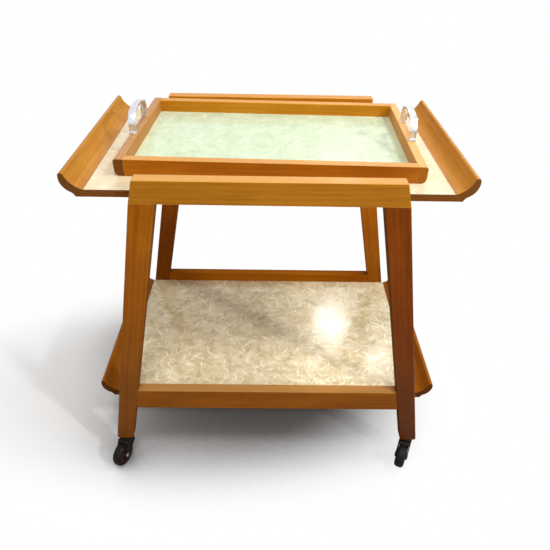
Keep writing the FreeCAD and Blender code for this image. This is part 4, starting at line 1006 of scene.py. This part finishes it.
def smooth_copy(node: str, body: str, material: bpy.types.Material, angle: float = 34.0,
                eased: float = 0.0) -> None:
    """Stand a smooth-shaded copy in place of a CAD node whose faces curve.

    Args:
        node: The node to stand for.
        body: The body that it rides on.
        material: The material to show.
        angle: Edges sharper than this many degrees stay sharp.
        eased: How far the sharp edges are rounded over, in metres.
    """
    shape = bmesh.new()
    shape.from_mesh(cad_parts[node].data)
    bmesh.ops.remove_doubles(shape, verts=shape.verts, dist=WELD_DISTANCE)
    if eased:
        bmesh.ops.dissolve_limit(
            shape, angle_limit=math.radians(FLAT_ANGLE), verts=shape.verts, edges=shape.edges)
        sharp = [edge for edge in shape.edges if edge.is_manifold and edge.is_convex
                 and edge.calc_face_angle(0.0) > math.radians(EASED_ANGLE)]
        bmesh.ops.bevel(shape, geom=sharp, offset=eased, offset_type="OFFSET", segments=EASED_SEGMENTS,
                        profile=0.5, affect="EDGES", clamp_overlap=True, material=-1)
    for face in shape.faces:
        face.smooth = True
    for edge in shape.edges:
        edge.smooth = edge.is_manifold and edge.calc_face_angle(0.0) < math.radians(angle)
    mesh = bpy.data.meshes.new(f"{node}_shown")
    shape.to_mesh(mesh)
    shape.free()
    mesh.materials.append(material)
    piece = bpy.data.objects.new(f"{node}_shown", mesh)
    bpy.context.scene.collection.objects.link(piece)
    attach(piece, body)
    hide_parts(node)
    LOG.info("built %s", node)


@dataclass
class SideFrames:
    """The two side frames: top rails, splayed legs, lower rails and the bearers between them.

    Attributes:
        splay: How far a leg leans, as run over rise.
        lower_rail_slope: Slope of the grain in the front lower rail, as rise over run.
    """

    splay: float = 113.0 / 588.0
    lower_rail_slope: float = 0.01

    def dress_rails(self) -> None:
        """Give each rail and the bearers a board of their own."""
        sloped = (1.0, 0.0, self.lower_rail_slope)
        # Painted light: the upward faces of these rails are painted paler, as if lit from above.
        dress_board("front_top_rail", Shade.GOLD, ALONG_X, 1.3, depth=0.79, bleach=0.4, gloss=0.4)
        dress_board("back_top_rail", Shade.GOLD, ALONG_X, 2.9, bleach=0.2, gloss=0.4)
        dress_board("front_lower_rail", Shade.AMBER, sloped, 4.2, depth=0.6, bleach=0.35, gloss=0.16,
                    smooth=0.412)
        dress_board("back_lower_rail", Shade.AMBER, ALONG_X, 5.4, depth=0.88, gloss=0.03, smooth=0.451)
        dress_board("cross_bearers", Shade.AMBER, ALONG_Y, 10.2, depth=0.8, gloss=0.3, smooth=0.37)

    def dress_legs(self) -> None:
        """Give each leg a board of its own, and show the ends of the dowels bare."""
        left, right = (-self.splay, 0.0, -1.0), (self.splay, 0.0, -1.0)
        # Painted shade: the legs are painted darker toward the floor and on their inner faces.
        shaded_and_worn = {"low_shade_and_grime": 0.6, "inner_shade": 0.6, "gloss": 0.2}
        dress_board("front_left_leg", Shade.AMBER, left, 6.1, depth=0.86, **shaded_and_worn)
        dress_board("front_right_leg", Shade.RUSSET, right, 7.7, depth=0.68, **shaded_and_worn)
        # Partly painted shade: this leg's stain is darker than the back right leg's, standing for the shade
        # on it.
        dress_board("back_left_leg", Shade.UMBER, left, 8.5, depth=2.1, **shaded_and_worn)
        dress_board("back_right_leg", Shade.AMBER, right, 9.6, depth=1.35, **shaded_and_worn)
        bare = VarnishedTimber("bare_dowel", Shade.BUFF, ALONG_Y, 0.4, smooth=0.7, wear=0.0)
        dress("frame_dowels", bare.build())


@dataclass
class Shelves:
    """The upper shelf with its leaves and the lower shelf, their laminates and cove ends.

    Attributes:
        board_thickness: Thickness of the plywood, in metres.
        upper_underside: Height of the upper board's underside, in metres.
        lower_underside: Height of the lower board's underside, in metres.
        leaf_sheen: Colour that the varnish of the leaves' coves reflects.
    """

    board_thickness: float = 0.0115
    upper_underside: float = 0.6583
    lower_underside: float = 0.1838
    leaf_sheen: Colour = (1.0, 0.76, 0.5)

    def dress_boards(self) -> None:
        """Give the boards their plies."""
        upper = LayeredBoard("plywood_upper", self.upper_underside, self.board_thickness, 0.7).build()
        lower = LayeredBoard("plywood_lower", self.lower_underside, self.board_thickness, 2.3).build()
        for node in ("upper_shelf_board", "left_leaf_board", "right_leaf_board"):
            dress(node, upper)
        dress("lower_shelf_board", lower)

    def dress_laminates(self) -> None:
        """Give the laminates their pearl."""
        cream = PearlLaminate(
            "cream_pearl", linear(208, 189, 153), linear(222, 206, 171), linear(238, 227, 199),
            contrast=0.7, roughness=0.24, seed=4.0).build()
        beige = PearlLaminate(
            "beige_pearl", linear(196, 180, 138), linear(225, 208, 166), linear(250, 243, 217),
            contrast=1.1, roughness=0.14, seed=1.0).build()
        for node in ("upper_shelf_laminate", "left_leaf_laminate", "right_leaf_laminate"):
            dress(node, cream)
        dress("lower_shelf_laminate", beige)

    def build_cove(self, node: str, body: str, shade: Shade, seed: float, **finish: object) -> None:
        """Stand a smooth moulding in place of a faceted one.

        Args:
            node: The cove's node.
            body: The body that it rides on.
            shade: Colour family.
            seed: Moves the figure.
            **finish: Other fields of the timber.
        """
        timber = VarnishedTimber(f"timber_{node}", shade, ALONG_Y, seed, wear=0.25, **finish)
        smooth_copy(node, body, timber.build())

    def build_coves(self) -> None:
        """Build the coves of the two leaves and of the lower shelf."""
        leaf, shelf = {"sheen": self.leaf_sheen}, {"smooth": 0.42}
        self.build_cove("left_leaf_cove", "left_leaf", Shade.HONEY, 11.0, depth=0.62, gloss=0.32, **leaf)
        # Partly painted light: the right cove's stain is paler than the left's, standing for the light
        # reflected on it.
        self.build_cove("right_leaf_cove", "right_leaf", Shade.HONEY, 12.4, depth=0.74, smooth=0.3,
                        gloss=0.3, **leaf)
        self.build_cove("lower_left_cove", "frame", Shade.AMBER, 13.1, depth=0.6, gloss=0.32, **shelf)
        self.build_cove("lower_right_cove", "frame", Shade.AMBER, 14.6, depth=0.68, gloss=0.26, **shelf)


@dataclass
class Tray:
    """The lift-off tray with its handles.

    Attributes:
        turn: How far the tray stands turned on the shelf, in radians.
        base_underside: Height of the base's underside, in metres.
        base_thickness: Thickness of the base, in metres.
        handle_angle: Edges of the handles sharper than this many degrees stay sharp.
        handle_easing: How far the handles' edges are rounded over, in metres.
    """

    turn: float = math.radians(-1.6)
    base_underside: float = 0.6722
    base_thickness: float = 0.004
    handle_angle: float = 50.0
    handle_easing: float = 0.0005

    def dress(self) -> None:
        """Give the tray's timber, base and laminate their finishes."""
        run = (math.cos(self.turn), math.sin(self.turn), 0.0)
        cross = (-math.sin(self.turn), math.cos(self.turn), 0.0)
        # Painted light: the upward faces of the tray's rails and right end are painted paler, as if lit from
        # above.
        dress_board("tray_front_rail", Shade.AMBER, run, 15.3, depth=0.9, end_shade=Shade.AMBER, bleach=0.45)
        dress_board("tray_back_rail", Shade.GOLD, run, 16.8, depth=0.9, end_shade=Shade.AMBER, bleach=0.3)
        dress_board("tray_left_end", Shade.BUFF, cross, 17.5, depth=0.62, end_shade=Shade.UMBER)
        dress_board("tray_right_end", Shade.BUFF, cross, 18.9, depth=0.98, end_shade=Shade.AMBER, bleach=0.35)
        base = LayeredBoard("plywood_tray", self.base_underside, self.base_thickness, 5.0)
        dress("tray_base", base.build())
        dress("tray_laminate", PearlLaminate(
            "green_pearl", linear(180, 197, 160), linear(198, 212, 180), linear(219, 231, 202),
            contrast=0.75, roughness=0.22, seed=8.0).build())

    def build_handles(self) -> None:
        """Stand smooth bows in place of the faceted ones."""
        metal = Metal("polished_bow", (0.76, 0.77, 0.8), (0.38, 0.38, 0.41), smooth=0.26, rough=0.38,
                      patches=Span(0.58, 0.755)).build()
        for side in ("left", "right"):
            smooth_copy(f"tray_{side}_handle", "tray", metal, self.handle_angle,
                        self.handle_easing)


@dataclass
class Hardware:
    """Hinges, stays, screws and pins.

    Attributes:
        nodes: The pieces of plated steel.
    """

    nodes: tuple[str, ...] = (
        "fixed_hinge_flaps", "left_leaf_hinge_flaps", "right_leaf_hinge_flaps", "hinge_pins",
        "left_quadrant_stay", "right_quadrant_stay", "stay_keepers", "frame_screws", "left_leaf_screws",
        "right_leaf_screws", "tray_handle_screws", "left_clamp_screw", "right_clamp_screw",
    )

    def dress(self) -> None:
        """Give all of the hardware its plating."""
        zinc = Metal("zinc_plate", (0.66, 0.66, 0.64), (0.36, 0.34, 0.3), smooth=0.3, rough=0.55,
                     patches=Span(0.52, 0.71)).build()
        for node in self.nodes:
            dress(node, zinc)


@dataclass
class Castors:
    """The four swivel castors and their sockets.

    Attributes:
        corners: The corners that they stand at.
    """

    corners: tuple[str, ...] = ("front_left", "front_right", "back_left", "back_right")

    def build(self) -> None:
        """Stand smooth castors in place of the faceted ones."""
        steel = DarkCoating("castor_paint", linear(22, 19, 15), linear(50, 43, 34), linear(116, 108, 94),
                            smooth=0.42, rough=0.64, wear=0.35, dust=0.3).build()
        tread = DarkCoating("castor_tread", linear(17, 14, 12), linear(48, 40, 34), linear(42, 36, 30),
                            smooth=0.36, rough=0.62, wear=0.2, dust=0.3).build()
        hub = DarkCoating("castor_hub", linear(62, 22, 21), linear(88, 58, 52), linear(100, 52, 46),
                          smooth=0.3, rough=0.5, wear=0.3, dust=0.4).build()
        axle = Metal("axle_metal", (0.36, 0.36, 0.34), (0.12, 0.1, 0.08), smooth=0.34, rough=0.6,
                     patches=Span(0.48, 0.68)).build()
        dress("castor_sockets", steel)
        for corner in self.corners:
            smooth_copy(f"{corner}_castor_fork", f"{corner}_castor", steel)
            smooth_copy(f"{corner}_castor_axle", f"{corner}_castor", axle)
            smooth_copy(f"{corner}_castor_tyre", f"{corner}_wheel", tread)
            smooth_copy(f"{corner}_castor_hub", f"{corner}_wheel", hub)


@dataclass(frozen=True)
class Lamp:
    """A soft round lamp.

    Attributes:
        name: The lamp's name.
        place: Where it hangs, in metres.
        aim: What it points at, in metres.
        size: Its width and height, in metres.
        power: Its power in watts.
        spin: Its turn about the line to what it points at, in degrees.
    """

    name: str
    place: Point
    aim: Point
    size: tuple[float, float]
    power: float
    spin: float = 0.0

    def hang(self) -> None:
        """Add the lamp to the scene."""
        data = bpy.data.lights.new(self.name, "AREA")
        data.shape = "ELLIPSE"
        data.size, data.size_y = self.size
        data.energy = self.power
        lamp = bpy.data.objects.new(self.name, data)
        place = Vector(self.place)
        facing = (place - Vector(self.aim)).to_track_quat("Z", "Y").to_matrix().to_4x4()
        spin = Matrix.Rotation(math.radians(self.spin), 4, "Z")
        lamp.matrix_world = Matrix.Translation(place) @ facing @ spin
        bpy.context.scene.collection.objects.link(lamp)


TROLLEY_MIDDLE: Point = (0.0, 0.0, 0.45)

LAMPS = (
    Lamp("key", (1.75, 0.0, 3.0), TROLLEY_MIDDLE, (0.6, 0.6), 38.0),
    Lamp("fill", (0.05, -1.1, 3.0), TROLLEY_MIDDLE, (0.6, 0.6), 33.0),
    Lamp("side", (1.95, -1.8, 2.1), TROLLEY_MIDDLE, (0.22, 0.22), 34.0),
    Lamp("window", (0.498, 2.16, 2.045), (0.158, 0.024, 0.197), (0.21, 0.27), 3.4, spin=33.0),
    Lamp("pane", (0.796, 1.752, 2.045), (0.253, -0.106, 0.197), (0.1, 0.14), 0.9),
)


@dataclass
class Studio:
    """Floor, lamps and camera.

    Attributes:
        camera_place: Where the camera stands, in metres.
        yaw: Turn of the view to the right of +Y, in degrees.
        pitch: How far it looks down, in degrees.
        roll: Turn of the camera about its line of sight, in degrees.
        lens: Focal length, in millimetres.
        sensor: Width of the picture in the camera, in millimetres.
        nearest: Distance from which the camera sees things, in metres.
        floor_size: Distance from the floor's middle to its sides, in metres.
        floor_white: Share of light that the floor sends back to the camera.
        floor_bounce: Share of light that it sends back to the trolley.
        floor_lift: Light added to the floor where the camera sees it.
        floor_cover: Height under which the trolley paints shadow onto the floor below it, in metres.
        floor_samples: Number of rays that look for the trolley from each point of the floor.
        floor_open: How the share of open sky over the floor sets its painted shadow.
        floor_middle: Middle of the part of the floor that keeps its shading.
        floor_squeeze: How much sooner it runs out to white along Y than along X.
        floor_run: Distances between which the floor runs out to even white, in metres.
        room_light: Strength of the light that the room sends from all round.
        room_tint: Colour of that light.
    """

    camera_place: Point = (-0.0016, -0.977, 1.0636)
    yaw: float = 0.9
    pitch: float = 35.7
    roll: float = 1.2
    lens: float = 34.615
    sensor: float = 36.0
    nearest: float = 0.01
    floor_size: float = 9.0
    floor_white: float = 0.9
    floor_bounce: float = 0.6
    floor_lift: float = 0.06
    floor_cover: float = 0.5
    floor_samples: int = 12
    floor_open: Span = Span(0.24, 1.0, 0.12, 1.0)
    floor_middle: Point = (-0.2, 0.02, 0.0)
    floor_squeeze: float = 1.6
    floor_run: Span = Span(0.35, 0.75)
    room_light: float = 0.47
    room_tint: Colour = (1.0, 0.985, 0.96)

    def add_camera(self) -> None:
        """Set up the camera."""
        yaw, pitch, roll = (math.radians(angle) for angle in (self.yaw, self.pitch, self.roll))
        ahead = Vector((math.sin(yaw) * math.cos(pitch), math.cos(yaw) * math.cos(pitch), -math.sin(pitch)))
        level = Vector((math.cos(yaw), -math.sin(yaw), 0.0))
        down = ahead.cross(level)
        right = level * math.cos(roll) - down * math.sin(roll)
        up = -(level * math.sin(roll) + down * math.cos(roll))
        data = bpy.data.cameras.new("camera")
        data.sensor_width = self.sensor
        data.lens = self.lens
        data.clip_start = self.nearest
        camera = bpy.data.objects.new("camera", data)
        turn = Matrix((right, up, -ahead)).transposed().to_4x4()
        camera.matrix_world = Matrix.Translation(self.camera_place) @ turn
        bpy.context.scene.collection.objects.link(camera)
        bpy.context.scene.camera = camera

    def add_floor(self) -> None:
        """Lay a pale floor that keeps the trolley's cast shadow, with painted shadow under it."""
        shape = bmesh.new()
        bmesh.ops.create_grid(shape, x_segments=1, y_segments=1, size=self.floor_size)
        mesh = bpy.data.meshes.new("floor")
        shape.to_mesh(mesh)
        shape.free()
        floor = bpy.data.objects.new("floor", mesh)
        bpy.context.scene.collection.objects.link(floor)
        mesh.materials.append(self.paint_floor())

    def paint_floor(self) -> bpy.types.Material:
        """Paint the floor white: matt close to the trolley, with a painted shadow where the trolley covers
        it, running out to even white.

        Returns:
            The floor's material.
        """
        graph = ShaderGraph("floor_paint")
        from_middle = graph.vector("SUBTRACT", graph.place, self.floor_middle)
        squeezed = graph.vector("MULTIPLY", from_middle, (1.0, self.floor_squeeze, 1.0))
        away = graph.spread(graph.vector("LENGTH", squeezed), self.floor_run)
        seen = graph.tree.nodes.new("ShaderNodeLightPath").outputs["Is Camera Ray"]
        # Painted shadow: the floor's colour is darkened where the trolley covers it from the sky.
        cover = graph.node("ShaderNodeAmbientOcclusion", Distance=self.floor_cover)
        cover.samples = self.floor_samples
        painted_shadow_level = graph.spread(cover.outputs["AO"], self.floor_open)
        share = graph.spread(seen, Span(0.0, 1.0, self.floor_bounce, self.floor_white))
        level = graph.times(painted_shadow_level, share)
        matt = graph.node("ShaderNodeBsdfDiffuse", Color=graph.join(level, level, level))
        strength = graph.times(graph.times(seen, painted_shadow_level), self.floor_lift)
        lift = graph.node("ShaderNodeEmission", Strength=strength)
        near = graph.node("ShaderNodeAddShader")
        graph.feed(near.inputs[0], matt.outputs[0])
        graph.feed(near.inputs[1], lift.outputs[0])
        white = graph.node("ShaderNodeEmission", Strength=1.0)
        whole = graph.node("ShaderNodeMixShader", Fac=graph.times(away, seen))
        graph.feed(whole.inputs[1], near.outputs[0])
        graph.feed(whole.inputs[2], white.outputs[0])
        graph.feed(graph.output.inputs["Surface"], whole.outputs[0])
        return graph.material

    def add_world(self) -> None:
        """Fill the room with soft light, and show it white to the camera and in reflections."""
        world = bpy.data.worlds.new("room")
        bpy.context.scene.world = world
        world.use_nodes = True
        tree = world.node_tree
        tree.nodes.clear()
        output = tree.nodes.new("ShaderNodeOutputWorld")
        soft = tree.nodes.new("ShaderNodeBackground")
        soft.inputs["Color"].default_value = (*self.room_tint, 1.0)
        soft.inputs["Strength"].default_value = self.room_light
        white = tree.nodes.new("ShaderNodeBackground")
        white.inputs["Color"].default_value = (1.0, 1.0, 1.0, 1.0)
        rays = tree.nodes.new("ShaderNodeLightPath")
        shown = rays.outputs["Is Camera Ray"]
        for kind in ("Is Glossy Ray", "Is Transmission Ray"):
            either = tree.nodes.new("ShaderNodeMath")
            either.operation = "MAXIMUM"
            tree.links.new(shown, either.inputs[0])
            tree.links.new(rays.outputs[kind], either.inputs[1])
            shown = either.outputs[0]
        mix = tree.nodes.new("ShaderNodeMixShader")
        tree.links.new(shown, mix.inputs[0])
        tree.links.new(soft.outputs[0], mix.inputs[1])
        tree.links.new(white.outputs[0], mix.inputs[2])
        tree.links.new(mix.outputs[0], output.inputs["Surface"])

    def build(self) -> None:
        """Set up the whole studio."""
        self.add_camera()
        self.add_floor()
        self.add_world()
        for lamp in LAMPS:
            lamp.hang()
        bpy.context.scene.view_settings.view_transform = "Standard"
        LOG.info("set up the studio")


def main() -> None:
    """Build the trolley's looks piece by piece."""
    logging.basicConfig(level=logging.INFO, format="%(message)s")
    frames = SideFrames()
    frames.dress_rails()
    frames.dress_legs()
    shelves = Shelves()
    shelves.dress_boards()
    shelves.dress_laminates()
    shelves.build_coves()
    tray = Tray()
    tray.dress()
    tray.build_handles()
    Hardware().dress()
    Castors().build()
    Studio().build()


if __name__ == "__main__":
    main()
